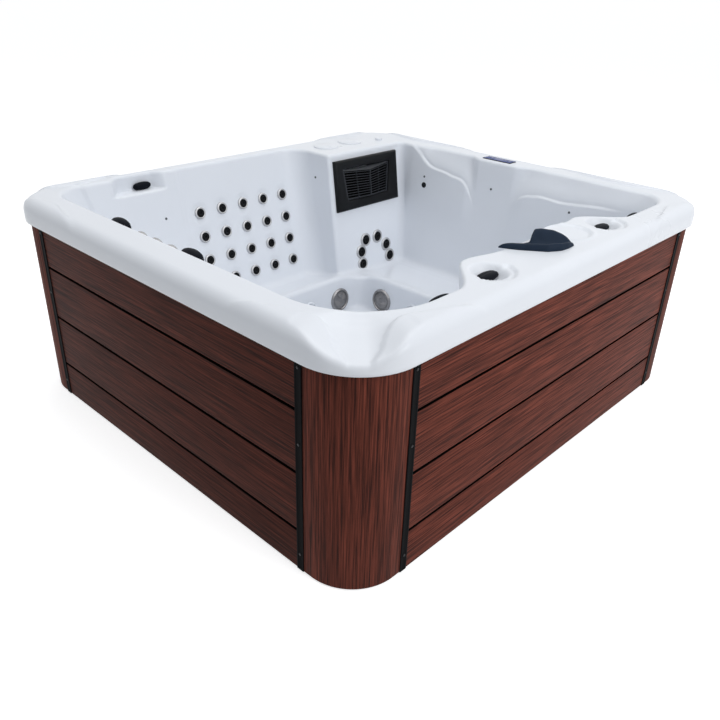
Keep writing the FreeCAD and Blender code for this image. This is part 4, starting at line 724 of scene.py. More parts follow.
def swell(ring, z, wall):
    """How far the wall stands into the basin: shelf, seat backs, recess over them, pocket, crease and dimples."""
    sizes = shell_sizes()
    x, y = ring[:, 0], ring[:, 1]
    z = np.broadcast_to(z, x.shape)
    rise = np.clip((z - SHELF_FOOT) / (sizes.rim_top - SHELF_FOOT), 0, 1)
    reach = SHELF_REACH * smooth((SHELF_HALF - np.abs(y - SHELF_Y)) / (SHELF_HALF - SHELF_INNER))
    for lobe_y, lobe in SHELF_LOBES:
        reach = reach + lobe * np.exp(-((y - lobe_y) / LOBE_WIDTH) ** 2)
    out = np.where(wall == "right", reach * rise ** SHELF_SWEEP, 0)
    for xs, zs in SEAT_BACKS:
        over = z - smooth_line(xs, zs, x)
        on_left = xs[-1] < 0
        ends = smooth((x - xs[0]) / SEAT_BACK_START) * (smooth((xs[-1] - x) / SEAT_BACK_END) if on_left else 1.0)
        faded = 1.0 if on_left else smooth((xs[-1] - x) / SEAT_BACK_FADE)
        foot = smooth((z - SEAT_BACK_FOOT) / SEAT_BACK_RUN)
        proud = sizes.proud * smooth(-over / SEAT_BACK_FOLD) * ends * faded * foot
        out = out + np.where(wall == "back", proud, 0)
        out = out - RECESS * smooth(over / RECESS_SOFT) * ends * back_share(wall)
    left = wall == "left"
    out = out + np.where(left, CREASE_RISE * smooth((CREASE_Y - y) / CREASE_SOFT), 0)
    inside = smooth((LEFT_POCKET_HALF - np.abs(y - LEFT_POCKET_Y)) / LEFT_POCKET_SOFT)
    inside = inside * smooth((z - LEFT_POCKET_FLOOR) / LEFT_POCKET_EDGE + 0.5)
    out = np.where(left, out * (1 - inside) + (LEFT_POCKET_BACK - x) * inside, out)
    slope = math.hypot(LEAN_LEFT / (sizes.rim_top - sizes.seat_height), 1)
    for name, along, height in small_jets():
        if name == "left":
            away = np.hypot(y - along, (z - height) * slope)
            out = out - np.where(left, sizes.dimple * (1 - smooth((away - DIMPLE_R) / DIMPLE_SOFT)), 0)
    return out


def wall_ring(z, wall):
    """The basin's wall with each column at its own height, or all at one."""
    sizes = shell_sizes()
    low, high = rounded_ring(basin_corners(sizes.seat_height)), rounded_ring(basin_corners(sizes.rim_top))
    share = np.broadcast_to((z - sizes.seat_height) / (sizes.rim_top - sizes.seat_height), wall.shape)
    ring = low + (high - low) * share[:, None]
    return ring + inward(ring) * swell(ring, z, wall)[:, None]


def rays_to(ring, half_x, half_y, centre, radius):
    """Where lines from the middle through a ring's points meet a rounded rectangle."""
    arc_steps, line_steps = 60, 200
    dense = []
    for i, (sx, sy) in enumerate(((1, -1), (1, 1), (-1, 1), (-1, -1))):
        x, y = centre[0] + sx * (half_x - radius), centre[1] + sy * (half_y - radius)
        first = math.radians(90 * (i - 1))
        for angle in np.linspace(first, first + math.pi / 2, arc_steps):
            dense.append((x + radius * math.cos(angle), y + radius * math.sin(angle)))
    closed = np.array(dense + dense[:1])
    fine = np.concatenate([np.linspace(a, b, line_steps, endpoint=False) for a, b in zip(closed[:-1], closed[1:])])
    polar = np.arctan2(fine[:, 1], fine[:, 0])
    order = np.argsort(polar)
    wanted = np.arctan2(ring[:, 1], ring[:, 0])
    reach = np.interp(wanted, polar[order], np.hypot(fine[:, 0], fine[:, 1])[order], period=math.tau)
    return np.stack([reach * np.cos(wanted), reach * np.sin(wanted)], axis=1)


def pad_share(x, y):
    """Share of the pads' height at each point of the rim, with a groove along the near pads' inner edges."""
    share = np.zeros(len(x))
    for axis, end, side, length, width, depth in PADS:
        if axis == "x":
            along, inset = HALF_X - end * x, HALF_Y - side * y
        else:
            along, inset = HALF_Y - end * y, HALF_X - side * x
        place = (along - PAD_START) / length
        inside = np.where((place > 0) & (place < 1), width * smooth_line(*PAD_SHAPE, place) - inset, -1)
        groove = depth * np.exp(-(inside / GROOVE_WIDTH + 1) ** 2) * smooth((1 - place) / GROOVE_FADE)
        share = np.maximum(share, smooth((inside + PAD_EDGE) / PAD_STEP)) - groove
    return share


def spout_surface(x, y):
    """Height of the near corner's spout, which rises to the rim at its sides and its inner end."""
    rim, radius = shell_sizes().rim_top, shell_sizes().corner_radius
    dx, dy = SPOUT_TIP[0] - x, y - SPOUT_TIP[1]
    inwards = (dx + dy) / math.sqrt(2)
    aside = np.abs(dy - dx) / math.sqrt(2) * np.where(dy < dx, SPOUT_FRONT, 1.0)
    base = SPOUT_LIP + SPOUT_RISE * np.clip(inwards / SPOUT_LENGTH, 0, 1)
    sides = aside / np.maximum(SPOUT_HALF - SPOUT_TAPER * inwards, 0.05)
    height = base + (rim - base) * smooth((sides - SPOUT_FLAT) / (1 - SPOUT_FLAT))
    height = height + np.maximum(sides - 1, 0) * SPOUT_SHOULDER
    height = height + np.maximum(inwards - SPOUT_LENGTH + SPOUT_BACK, 0) ** 2 * SPOUT_CURVE
    over_x, over_y = np.abs(x) - (HALF_X - radius), np.abs(y) - (HALF_Y - radius)
    inset = radius - np.hypot(np.maximum(over_x, 0), np.maximum(over_y, 0))
    edge = np.clip(1 - inset / SPOUT_EDGE, 0, 1)
    return height - SPOUT_EDGE * (1 - np.sqrt(1 - edge * edge))


def seat_rise(x, y, z):
    """How far the seats stand above their plain level: a lip round the footwell and ridges between the seats."""
    middle_x, middle_y = (FOOT_LEFT + FOOT_RIGHT) / 2, (FOOT_FRONT + FOOT_BACK) / 2
    over_x = np.abs(x - middle_x) - (FOOT_RIGHT - middle_x)
    over_y = np.abs(y - middle_y) - (FOOT_BACK - middle_y)
    beyond = np.hypot(np.maximum(over_x, 0), np.maximum(over_y, 0))
    corner = np.hypot(over_x, over_y)
    rise = LIP_RISE * np.exp(-(beyond / LIP_SPREAD) ** 2) * (1 - LIP_DIP * np.exp(-(corner / LIP_DIP_R) ** 2))
    for at_x, at_y, wide_x, wide_y, height in SEAT_RIDGES:
        rise = rise + height * np.exp(-((x - at_x) / wide_x) ** 2 - ((y - at_y) / wide_y) ** 2)
    seat = shell_sizes().seat_height
    started = smooth((z - LIP_FLOOR) / (seat - LIP_FLOOR - LIP_SHOULDER))
    return rise * started * (1 - smooth((z - seat) / SEAT_FADE))


def press_hollows(x, y, z):
    """Presses the pockets and the dish into the top of the rim."""
    rim = shell_sizes().rim_top
    for at_x, at_y in POCKETS:
        away = np.hypot(x - at_x, y - at_y) - POCKET_R
        step = rim - POCKET_STEP + HOLLOW_LIFT * smooth((away - 0.018) / 0.010)
        step = step + np.maximum(away - 0.030, 0) * HOLLOW_CLEAR + HOLLOW_LIFT * smooth((at_x + 0.010 - x) / 0.030)
        bowl = POCKET_FLOOR + (rim + 0.012 - POCKET_FLOOR) * smooth((away + 0.030) / 0.048)
        bowl = bowl + np.maximum(away - 0.010, 0) * HOLLOW_CLEAR
        z = soft_min(soft_min(z, step, 0.004), bowl, 0.006)
    away = np.hypot(x - DISH_AT[0], y - DISH_AT[1]) - DISH_R
    z = z + DISH_BEAD * np.exp(-((away - 0.008) / 0.007) ** 2)
    floor = DISH_FLOOR + 0.030 * smooth((away + 0.006) / 0.012) + np.maximum(away, 0) * HOLLOW_CLEAR
    return soft_min(z, floor, 0.003)


def quarter_turn(steps):
    """Cosine and sine at even steps of a quarter turn, without its start."""
    return [(math.cos(angle), math.sin(angle)) for angle in np.linspace(0, math.pi / 2, steps + 1)[1:]]


def shell_rings():
    """Rings of the shell from its underside, round the lip, to its floor, and where the rim's rings start and end."""
    sizes = shell_sizes()
    wall = column_walls()
    rim, seat, floor = sizes.rim_top, sizes.seat_height, sizes.floor_height
    middle = (0.0, 0.0)
    foot_middle = ((FOOT_LEFT + FOOT_RIGHT) / 2, (FOOT_FRONT + FOOT_BACK) / 2)
    foot_half = ((FOOT_RIGHT - FOOT_LEFT) / 2, (FOOT_BACK - FOOT_FRONT) / 2)
    plain = rounded_ring(basin_corners(rim))
    into = inward(plain)
    top = wall_ring(rim, wall)
    edge = sizes.inner_round
    low_ring = rounded_ring(basin_corners(seat))
    low_into = inward(low_ring)

    def outer(inset, z):
        return rays_to(plain, HALF_X - inset, HALF_Y - inset, middle, sizes.corner_radius - inset), z

    def foot(inset, z):
        inset = inset + FOOT_LEAN * max(seat - z, 0.0) / (seat - floor)
        radius = FOOT_R - min(inset, FOOT_R - 0.02)
        return rays_to(low_ring, foot_half[0] - inset, foot_half[1] - inset, foot_middle, radius), z

    # Underside, from the middle of the footwell out to the lip
    skin, lip = sizes.thickness, sizes.lip_bottom
    rings = [foot(0.20, floor - skin), foot(0.0, floor - skin), foot(-skin, seat - skin),
             (low_ring - low_into * skin, seat - skin)]
    for z in np.linspace(seat + 0.05, lip + LIP_BACK[0][1], 4):
        ring = rounded_ring(basin_corners(z))
        behind = skin + (RECESS + skin) * back_share(wall) * float(smooth((z - SEAT_BACK_FOOT) / RECESS_SOFT))
        rings.append((ring - inward(ring) * behind[:, None], z))
    rings += [outer(inset, lip + rise) for inset, rise in LIP_BACK]
    # Lip and rolled edge
    first_rim = len(rings)
    rings += [outer(inset, lip + rise) for inset, rise in LIP_FRONT]
    for cosine, sine in [(1.0, 0.0)] + quarter_turn(8)[:-1]:
        rings.append(outer(sizes.roll_radius * (1 - cosine), rim - sizes.roll_radius * (1 - sine)))
    # Flat of the rim, then the edge into the basin
    rolled = outer(sizes.roll_radius, rim)[0]
    brink = top - into * edge
    for share in np.linspace(0, 1, 34):
        rings.append((rolled + (brink - rolled) * share, rim))
    last_rim = len(rings)
    for cosine, sine in quarter_turn(5):
        z = rim - edge * (1 - cosine)
        rings.append((wall_ring(z, wall) - into * edge * (1 - sine), z))
    # Walls, with rings close together along the seat backs' top line
    fold = fold_heights(plain, wall)
    start, above, below = rim - edge, fold + FOLD_REACH, fold - FOLD_REACH
    levels = [start + (above - start) * share for share in np.linspace(0, 1, 8)[1:]]
    levels += [fold + step for step in FOLD_STEPS]
    levels += [below + (seat + SEAT_ROUND - below) * share for share in np.linspace(0, 1, 40)[1:]]
    rings += [(wall_ring(z, wall), z) for z in levels]
    # Seats and footwell
    for cosine, sine in quarter_turn(4):
        z = seat + SEAT_ROUND * (1 - sine)
        ring = rounded_ring(basin_corners(z))
        rings.append((ring + inward(ring) * SEAT_ROUND * (1 - cosine), z))
    bench = low_ring + low_into * SEAT_ROUND
    brink = foot(-FOOT_ROUND, seat)[0]
    for share in np.linspace(0, 1, 13)[1:]:
        rings.append((bench + (brink - bench) * share, seat))
    for cosine, sine in quarter_turn(4):
        rings.append(foot(-FOOT_ROUND * (1 - sine), seat - FOOT_ROUND * (1 - cosine)))
    rings += [foot(0.0, z) for z in np.linspace(seat - FOOT_ROUND, floor + FOOT_ROUND, 4)[1:]]
    for cosine, sine in quarter_turn(3):
        rings.append(foot(FOOT_ROUND * (1 - cosine), floor + FOOT_ROUND * (1 - sine)))
    rings += [foot(inset, floor) for inset in (0.08, 0.16, 0.26)]
    return rings, first_rim, last_rim


def shell_mesh():
    """The shell as one closed mesh of rings."""
    sizes = shell_sizes()
    rings, first_rim, last_rim = shell_rings()
    count = len(rings[0][0])
    points = []
    for i, (ring, height) in enumerate(rings):
        z = np.broadcast_to(height, (count,)).astype(float)
        x, y = ring[:, 0], ring[:, 1]
        if first_rim < i:
            lip = sizes.lip_bottom + PAD_FOOT
            lifted = np.clip((z - lip) / (sizes.rim_top - lip), 0, 1)
            pads = sizes.pad_height * pad_share(x, y) * lifted * (z > sizes.rim_top - PAD_DROP)
            z = soft_min(z, spout_surface(x, y), SPOUT_BLEND) + pads
        if first_rim < i < last_rim:
            z = press_hollows(x, y, z)
        if i > last_rim or i < first_rim:
            z = z + seat_rise(x, y, z)
        points.append(np.stack([x, y, z], axis=1))
    faces = []
    ahead = np.roll(np.arange(count), -1)
    for i in range(len(points) - 1):
        for j in range(count):
            k = int(ahead[j])
            faces.append((i * count + j, i * count + k, (i + 1) * count + k, (i + 1) * count + j))
    last = (len(points) - 1) * count
    total = len(points) * count
    below = (0.0, 0.0, sizes.floor_height - sizes.thickness)
    above = (0.0, 0.0, sizes.floor_height)
    for j in range(count):
        k = int(ahead[j])
        faces.append((total, k, j))
        faces.append((total + 1, last + j, last + k))
    return list(np.concatenate(points)) + [below, above], faces


def cut_window(piece):
    """Cuts the filter's window through the tower wall."""
    half_w, half_h = WINDOW_SIZE[0] / 2, WINDOW_SIZE[1] / 2
    cutter = block("window_cutter", (-half_w, -half_h, -0.05), (half_w, half_h, 0.05), 0.0)
    cutter.data.transform(wall_place(*FILTER_AT))
    modifier = piece.modifiers.new("Window", "BOOLEAN")
    modifier.operation = "DIFFERENCE"
    modifier.solver = "EXACT"
    modifier.object = cutter
    apply_modifiers(piece)
    bpy.data.objects.remove(cutter)


class HOTTUB_OT_shell(bpy.types.Operator):
    """Moulds the acrylic shell"""

    bl_idname = "hottub.shell"
    bl_label = "Shell"

    def execute(self, context):
        points, faces = shell_mesh()
        piece = mesh_piece("moulded_shell", points, faces)
        cut_window(piece)
        dress(piece, acrylic(), ["tub_shell"], angle=60)
        return {"FINISHED"}


# Cabinet
def board_bands():
    """Bottom and top of each board, from the frame's boards and their gaps."""
    half = cabinet_sizes().board_gap / 2
    feet = [BOARD_FOOT] + [gap + half for gap in BOARD_GAPS]
    heads = [gap - half for gap in BOARD_GAPS] + [BOARD_HEAD]
    return list(zip(feet, heads))


class HOTTUB_OT_boards(bpy.types.Operator):
    """Lays the four level boards on each side of the cabinet"""

    bl_idname = "hottub.boards"
    bl_label = "Boards"

    def execute(self, context):
        sizes = cabinet_sizes()
        for side, axis in (("front", "x"), ("back", "x"), ("left", "y"), ("right", "y")):
            low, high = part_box(f"{side}_boards")
            rows = []
            for foot, head in board_bands():
                rows.append(block("board", (low.x, low.y, foot), (high.x, high.y, head), sizes.board_edge))
            piece = join(f"{side}_woodgrain_boards", rows)
            dress(piece, woodgrain_lit(axis), [f"{side}_boards"])
            # The boards' top and bottom edges get painted shade: black for the shadow in the gaps between boards.
            piece.data.materials.append(gap_shade_black())
            for polygon in piece.data.polygons:
                polygon.material_index = int(abs(polygon.normal.z) > 0.8)
        return {"FINISHED"}


def corner_profile(steps):
    """Outer line of one corner panel in plan, for the corner at +X, +Y."""
    sizes = cabinet_sizes()
    reach = sizes.strip_from_corner - STRIP_ROOM
    radius = sizes.corner_radius
    line = [(CABINET_X, CABINET_Y - reach)]
    for angle in np.linspace(0, math.pi / 2, steps):
        line.append((CABINET_X - radius + radius * math.cos(angle), CABINET_Y - radius + radius * math.sin(angle)))
    return line + [(CABINET_X - reach, CABINET_Y)]


class HOTTUB_OT_corner_panels(bpy.types.Operator):
    """Bends the four corner panels with upright grain"""

    bl_idname = "hottub.corner_panels"
    bl_label = "Corner panels"

    def execute(self, context):
        line = corner_profile(40)
        under_spout = shell_sizes().lip_bottom + SPOUT_ROOM
        places = (("right", 1, 1, BOARD_HEAD), ("far", -1, 1, BOARD_HEAD),
                  ("left", -1, -1, BOARD_HEAD), ("near", 1, -1, under_spout))
        for name, sx, sy, head in places:
            points = [(x * sx, y * sy, z) for z in (BOARD_FOOT, head) for x, y in line]
            count = len(line)
            order = [(i, i + 1, count + i + 1, count + i) for i in range(count - 1)]
            faces = order if sx * sy > 0 else [face[::-1] for face in order]
            piece = mesh_piece(f"{name}_bent_panel", points, faces)
            thick = piece.modifiers.new("Board", "SOLIDIFY")
            thick.thickness = cabinet_sizes().board_thickness
            thick.offset = -1.0
            bevel(piece, cabinet_sizes().board_edge)
            dress(piece, woodgrain_lit("z"), [f"{name}_corner_panel"])
        return {"FINISHED"}


def strip_places():
    """Matrix of each upright strip and of its screws: local -Y points out of the cabinet."""
    offset_x = CABINET_X - cabinet_sizes().strip_from_corner
    offset_y = CABINET_Y - cabinet_sizes().strip_from_corner
    places = []
    for sign in (-1, 1):
        for spot, angle in (((sign * offset_x, -CABINET_Y, 0), 0), ((sign * offset_x, CABINET_Y, 0), 180),
                            ((CABINET_X, sign * offset_y, 0), 90), ((-CABINET_X, sign * offset_y, 0), -90)):
            places.append(Matrix.Translation(spot) @ Matrix.Rotation(math.radians(angle), 4, "Z"))
    return places


def strip_model():
    """One upright strip: a face with a shallow channel, and the web behind it."""
    sizes = cabinet_sizes()
    half = sizes.strip_width / 2
    face = block("strip_face", (-half, -sizes.strip_proud, BOARD_FOOT), (half, 0, BOARD_HEAD), 0.0)
    take(face)
    bpy.ops.object.mode_set(mode="EDIT")
    bpy.ops.mesh.select_all(action="DESELECT")
    bpy.ops.object.mode_set(mode="OBJECT")
    for polygon in face.data.polygons:
        polygon.select = polygon.normal.y < -0.9
    bpy.ops.object.mode_set(mode="EDIT")
    bpy.ops.mesh.select_mode(type="FACE")
    bpy.ops.mesh.inset(thickness=0.0055, depth=0.0)
    bpy.ops.mesh.inset(thickness=0.0008, depth=-0.0007)
    bpy.ops.object.mode_set(mode="OBJECT")
    bevel(face, 0.0007, 2)
    web = block("strip_web", (-0.004, 0, BOARD_FOOT), (0.004, 0.012, BOARD_HEAD), 0.0005, 1)
    return join("strip", [face, web])


class HOTTUB_OT_trim_strips(bpy.types.Operator):
    """Sets the black upright strips and their screws"""

    bl_idname = "hottub.trim_strips"
    bl_label = "Trim strips"

    def execute(self, context):
        strips = join("upright_strips", copies(strip_model(), strip_places()))
        matt = moulded("strip_black", toned(colours().black, 0.3), tint=0.25, rough=(0.5, 0.65), fine_scale=700.0,
                       grain=0.25, gloss=0.03)
        dress(strips, matt, ["trim_strips"])
        head = [(0.0, 0.0014), (0.0012, 0.0014), (0.0014, 0.0019), (0.0030, 0.0017), (0.0042, 0.0010), (0.0045, 0.0)]
        screw = spun("screw_head", head, 16)
        upright = Matrix.Rotation(math.radians(90), 4, "X")
        spots = [Matrix.Translation((0, -cabinet_sizes().strip_proud, z)) @ upright for z in SCREW_HEIGHTS]
        screws = copies(screw, [place @ spot for place in strip_places() for spot in spots])
        blackened = moulded("blackened_steel", (0.02, 0.02, 0.022, 1), rough=(0.3, 0.4), metallic=0.6)
        dress(join("strip_screw_heads", screws), blackened, ["strip_screws"])
        return {"FINISHED"}


# Jets
class HOTTUB_OT_wall_jets(bpy.types.Operator):
    """Sets the small jets: polished rings with black eyeball nozzles"""

    bl_idname = "hottub.wall_jets"
    bl_label = "Wall jets"

    def execute(self, context):
        places = [wall_place(*spot) @ Matrix.Scale(ARCH_SCALE if spot[0] == "tower" else 1.0, 4)
                  for spot in small_jets()]
        ring = spun("jet_ring", [(0.0196, -0.006), (0.0198, 0.0040), (0.0210, 0.0056), (0.0230, 0.0064),
                                 (0.0256, 0.0062), (0.0276, 0.0048), (0.0287, 0.0022), (0.0290, -0.0060)], 40)
        rings = join("jet_trim_rings", copies(ring, places))
        dress(rings, satin_steel(), ["wall_jet_rings"])
        nozzle = spun("jet_nozzle", [(0.0, 0.0022), (0.0052, 0.0024), (0.0066, 0.0058), (0.0090, 0.0072),
                                     (0.0140, 0.0076), (0.0186, 0.0066), (0.0208, 0.0040), (0.0190, 0.0030),
                                     (0.0172, -0.0060)], 32)
        nozzles = join("jet_eyeballs", copies(nozzle, places))
        eye = moulded("nozzle_black", toned(colours().black, 0.6), tint=0.3, rough=(0.45, 0.6), gloss=0.1)
        dress(nozzles, eye, ["wall_jet_nozzles"])
        return {"FINISHED"}


def jet_face(radius, height):
    """A steel jet face: rolled ring, groove, shallow dish with fine spokes, and an off-centre outlet."""
    r, h, count = radius, height, 30
    face = ((0.0, 0.62), (0.30, 0.60), (0.62, 0.54), (0.70, 0.50), (0.72, 0.30), (0.76, 0.30), (0.78, 0.66),
            (0.82, 0.88), (0.88, 0.92), (0.95, 0.72), (1.0, 0.34), (1.0, 0.0))
    disc = spun("jet_face", [(r * across, h * up) for across, up in face], 64)
    spoke = block("jet_spoke", (r * 0.20, -r * 0.014, h * 0.50), (r * 0.68, r * 0.014, h * 0.66), r * 0.008, 1)
    spokes = copies(spoke, [Matrix.Rotation(math.tau * i / count, 4, "Z") for i in range(count)])
    nose = ((0.06, 0.40), (0.065, 0.74), (0.10, 0.80), (0.145, 0.70), (0.15, 0.45))
    outlet = spun("jet_outlet", [(r * across, h * up) for across, up in nose], 20)
    outlet.data.transform(Matrix.Translation((0, r * 0.40, 0)))
    return join("jet_face", [disc, outlet] + spokes)


class HOTTUB_OT_turning_jets(bpy.types.Operator):
    """Sets the large neck and foot jets, whose faces turn"""

    bl_idname = "hottub.turning_jets"
    bl_label = "Turning jets"

    def execute(self, context):
        # The foot jets' steel is darkened with painted shade for their place low in the footwell.
        for prefix, spots, radius, height, steel in (("neck", NECK_JETS, 0.0455, 0.022, polished_steel()),
                                                     ("foot", FOOT_JETS, 0.062, 0.014, shaded_steel())):
            for number, spot in enumerate(spots, 1):
                node = f"{prefix}_jet_face_{number}"
                face = jet_face(radius, height)
                face.data.transform(wall_place(*spot) @ Matrix.Translation((0, 0, SEATED)))
                face.name = f"{prefix}_jet_dome_{number}"
                dress(face, steel, [node], body=node)
        return {"FINISHED"}


def slotted_cover():
    """A white cover with level slots."""
    disc = spun("cover", [(0.0, 0.0060), (0.036, 0.0060), (0.038, 0.0112), (0.041, 0.0118), (0.0445, 0.0095),
                          (0.046, 0.004), (0.046, 0.0)], 48)
    bars, count, pitch, reach = [], 6, 0.012, 0.0375
    for i in range(count):
        y = (i - (count - 1) / 2) * pitch
        half = math.sqrt(reach ** 2 - y ** 2)
        bars.append(block("cover_bar", (-half, y - 0.0032, 0.005), (half, y + 0.0032, 0.0112), 0.0012, 2))
    return join("cover", [disc] + bars)


class HOTTUB_OT_water_fittings(bpy.types.Operator):
    """Sets the suction covers, air injectors, lights and the ozone inlet"""

    bl_idname = "hottub.water_fittings"
    bl_label = "Water fittings"

    def execute(self, context):
        covers = copies(slotted_cover(), [wall_place(*spot) for spot in SUCTION])
        dress(join("slotted_covers", covers), white_plastic(), ["suction_covers"])
        injector = spun("injector", [(0.0, 0.0012), (0.004, 0.0014), (0.0065, 0.0026), (0.010, 0.0028),
                                     (0.013, 0.0018), (0.014, 0.0)], 28)
        seats = [wall_place("seat", x, y) for x, y in INJECTORS]
        dress(join("seat_injectors", copies(injector, seats)), white_plastic(), ["air_injectors"])
        lens = spun("light_lens", [(0.0, 0.0024), (0.0028, 0.0023), (0.0036, 0.0016), (0.0046, 0.0020),
                                   (0.0056, 0.0014), (0.006, -0.001)], 20)
        smoked = moulded("smoked_lens", (0.10, 0.11, 0.12, 1), rough=(0.12, 0.2))
        spots = [wall_place(*spot) @ Matrix.Translation((0, 0, CREASE_RISE if spot[0] == "left" else 0.0))
                 for spot in LIGHTS]
        dress(join("light_lenses", copies(lens, spots)), smoked, ["wall_lights"])
        inlet = spun("ozone_inlet", [(0.0, 0.0008), (0.0045, 0.0008), (0.0050, 0.0018), (0.0075, 0.0028),
                                     (0.012, 0.0026), (0.0146, 0.0012), (0.015, 0.0)], 28)
        inlet.data.transform(wall_place(*OZONE_JET))
        dress(inlet, black_plastic(), ["ozone_jet"])
        return {"FINISHED"}


# Filter
def bezel_model():
    """The filter's broad frame: a raised border, a sloping inner face and the window."""
    border = ((0.0, 0.0, 0.0), (0.0, 0.0, 0.013), (-0.005, -0.005, 0.0205), (-0.011, -0.011, 0.0218),
              (-0.030, -0.026, 0.0200))
    window = ((0.012, 0.010, 0.0185), (0.003, 0.003, 0.0150), (0.0, 0.0, 0.0), (0.0, 0.0, -0.009))
    points = []
    for (width, height), taper, steps in ((FILTER_SIZE, 0.0, border), (WINDOW_SIZE, WINDOW_TAPER, window)):
        for wider, taller, z in steps:
            half_w, half_h = width / 2 + wider, height / 2 + taller
            foot = half_w - taper
            points += [(foot, -half_h, z), (half_w, half_h, z), (-half_w, half_h, z), (-foot, -half_h, z)]
    faces = []
    for i in range(len(border) + len(window) - 1):
        for j in range(4):
            k = (j + 1) % 4
            faces.append((i * 4 + j, i * 4 + k, (i + 1) * 4 + k, (i + 1) * 4 + j))
    piece = mesh_piece("filter_frame", points, faces)
    bevel(piece, 0.0022, 3, 20)
    return piece


def grille_front(share, height):
    """A point on the grille's bowed front: share from -1 to 1 across it, height from 0 at its foot to 1 at its top."""
    half_w, half_h = WINDOW_SIZE[0] / 2 - GRILLE_ROOM, WINDOW_SIZE[1] / 2 - GRILLE_ROOM
    middle = 1 - abs(share)
    x = share * (half_w - WINDOW_TAPER * (1 - height))
    return x, half_h * (2 * height - 1) - CHEVRON * middle * height, GRILLE_BACK + GRILLE_BOW * middle


def grille_bar(name, lines):
    """A bar across the grille, from the four lines of points along its edges."""
    count = len(lines[0])
    points = [line[i] for i in range(count) for line in lines]
    last = (count - 1) * 4
    faces = [(i + j, i + (j + 1) % 4, i + 4 + (j + 1) % 4, i + 4 + j) for i in range(0, last, 4) for j in range(4)]
    return mesh_piece(name, points, faces + [(3, 2, 1, 0), (last, last + 1, last + 2, last + 3)])


def grille_pieces():
    """The grille's beads, head, foot and uprights, and the black blades that rise behind the beads as painted shade
    hiding the filter's pale inside.
    """
    bead = ((0.0016, -0.003), (0.0014, 0.0), (-0.0014, 0.0), (-0.0016, -0.003))
    shade_blade = ((0.0090, -0.024), (0.0010, -0.003), (-0.0010, -0.003), (0.0070, -0.024))
    uprights = ((0.0, 0.0046, 0.0014), (-0.5, 0.0018, -0.002), (0.5, 0.0018, -0.002), (-0.99, 0.006, 0.001),
                (0.99, 0.006, 0.001))
    shares = np.linspace(-1, 1, 13)
    pieces, shade_blades = [], []
    for i in range(GRILLE_SLATS):
        front = [grille_front(share, (i + 0.35) / GRILLE_SLATS) for share in shares]
        for made, section in ((pieces, bead), (shade_blades, shade_blade)):
            made.append(grille_bar("louvre", [[(x, y + dy, z + dz) for x, y, z in front] for dy, dz in section]))
    for height, thick in ((1.0, -0.0025), (0.0, 0.0025)):
        front = [grille_front(share, height) for share in shares]
        edge = WINDOW_SIZE[1] / 2 * (2 * height - 1)
        lines = [[(x, edge, 0.010) for x, _, _ in front], [(x, y, z + 0.001) for x, y, z in front],
                 [(x, y + thick, z + 0.001) for x, y, z in front],
                 [(x, edge + thick, GRILLE_BACK) for x, _, _ in front]]
        pieces.append(grille_bar("grille_head", lines))
    for share, wide, proud in uprights:
        spots = [grille_front(share, height) for height in np.linspace(0, 1, 7)]
        section = ((-wide / 2, -0.010), (wide / 2, -0.010), (wide / 2, 0.0), (-wide / 2, 0.0))
        lines = [[(x + dx, y, z + proud + dz) for x, y, z in spots] for dx, dz in section]
        pieces.append(grille_bar("upright", lines))
    return pieces, shade_blades


class HOTTUB_OT_filter(bpy.types.Operator):
    """Builds the filter's frame and its louvred grille"""

    bl_idname = "hottub.filter"
    bl_label = "Filter"

    def execute(self, context):
        black = colours().black
        bezel = moulded("bezel_black", toned(black, 0.6), tint=0.3, rough=(0.34, 0.46), fine_scale=900.0, gloss=0.16)
        louvre = moulded("grille_black", toned(black, 2.6), tint=0.25, rough=(0.36, 0.5), fine_scale=900.0, gloss=0.35)
        border = bezel_model()
        pieces, shade_blades = grille_pieces()
        # The grille's black blades are painted shade behind the beads.
        for piece, material, nodes, body, angle in (
                (border, bezel, ["filter_bezel"], ROOT, 30),
                (join("louvred_grille", pieces), louvre, ["filter_grille"], "filter_grille", 35),
                (join("grille_shade_blades", shade_blades), gap_shade_black(), [], "filter_grille", 35)):
            piece.data.transform(wall_place(*FILTER_AT))
            tidy_normals(piece)
            dress(piece, material, nodes, body=body, angle=angle)
        return {"FINISHED"}


# Valves and control panel
def cap_model(radius, height):
    """A low round cap with a soft edge and a finger ridge."""
    disc = spun("cap", [(0.0, height), (radius * 0.80, height), (radius * 0.84, height - 0.0008),
                        (radius * 0.88, height - 0.0002), (radius * 0.955, height - 0.0010),
                        (radius * 0.99, height - 0.0026), (radius, 0.0)], 64)
    ridge = block("cap_pointer", (0.014, -0.003, height - 0.002), (0.048, 0.003, height + 0.0012), 0.0010, 3)
    return join("cap", [disc, ridge])


class HOTTUB_OT_valves(bpy.types.Operator):
    """Sets the diverter caps and the air knob on the filter tower"""

    bl_idname = "hottub.valves"
    bl_label = "Valves"

    def execute(self, context):
        top = shell_sizes().rim_top + SEATED
        for number, (x, y) in enumerate(DIVERTERS, 1):
            node = f"diverter_cap_{number}"
            cap = cap_model(CAP_RADIUS, CAP_HEIGHT)
            cap.data.transform(Matrix.Translation((x, y, top)))
            cap.name = f"diverter_disc_{number}"
            dress(cap, white_plastic(), [node], body=node)
        knob = spun("air_dial", [(0.0, 0.0100), (0.010, 0.0100), (0.0125, 0.0094), (0.0165, 0.0098),
                                 (0.0185, 0.0084), (0.0195, 0.004), (0.0198, 0.0)], 48)
        grip, count = block("dial_grip", (0.0170, -0.0011, 0.001), (0.0200, 0.0011, 0.0082), 0.0006, 2), 12
        grips = copies(grip, [Matrix.Rotation(math.tau * i / count, 4, "Z") for i in range(count)])
        dial = join("air_dial", [knob] + grips)
        dial.data.transform(Matrix.Translation((*AIR_KNOB, top)))
        dress(dial, white_plastic(), ["air_knob"], body="air_knob")
        return {"FINISHED"}


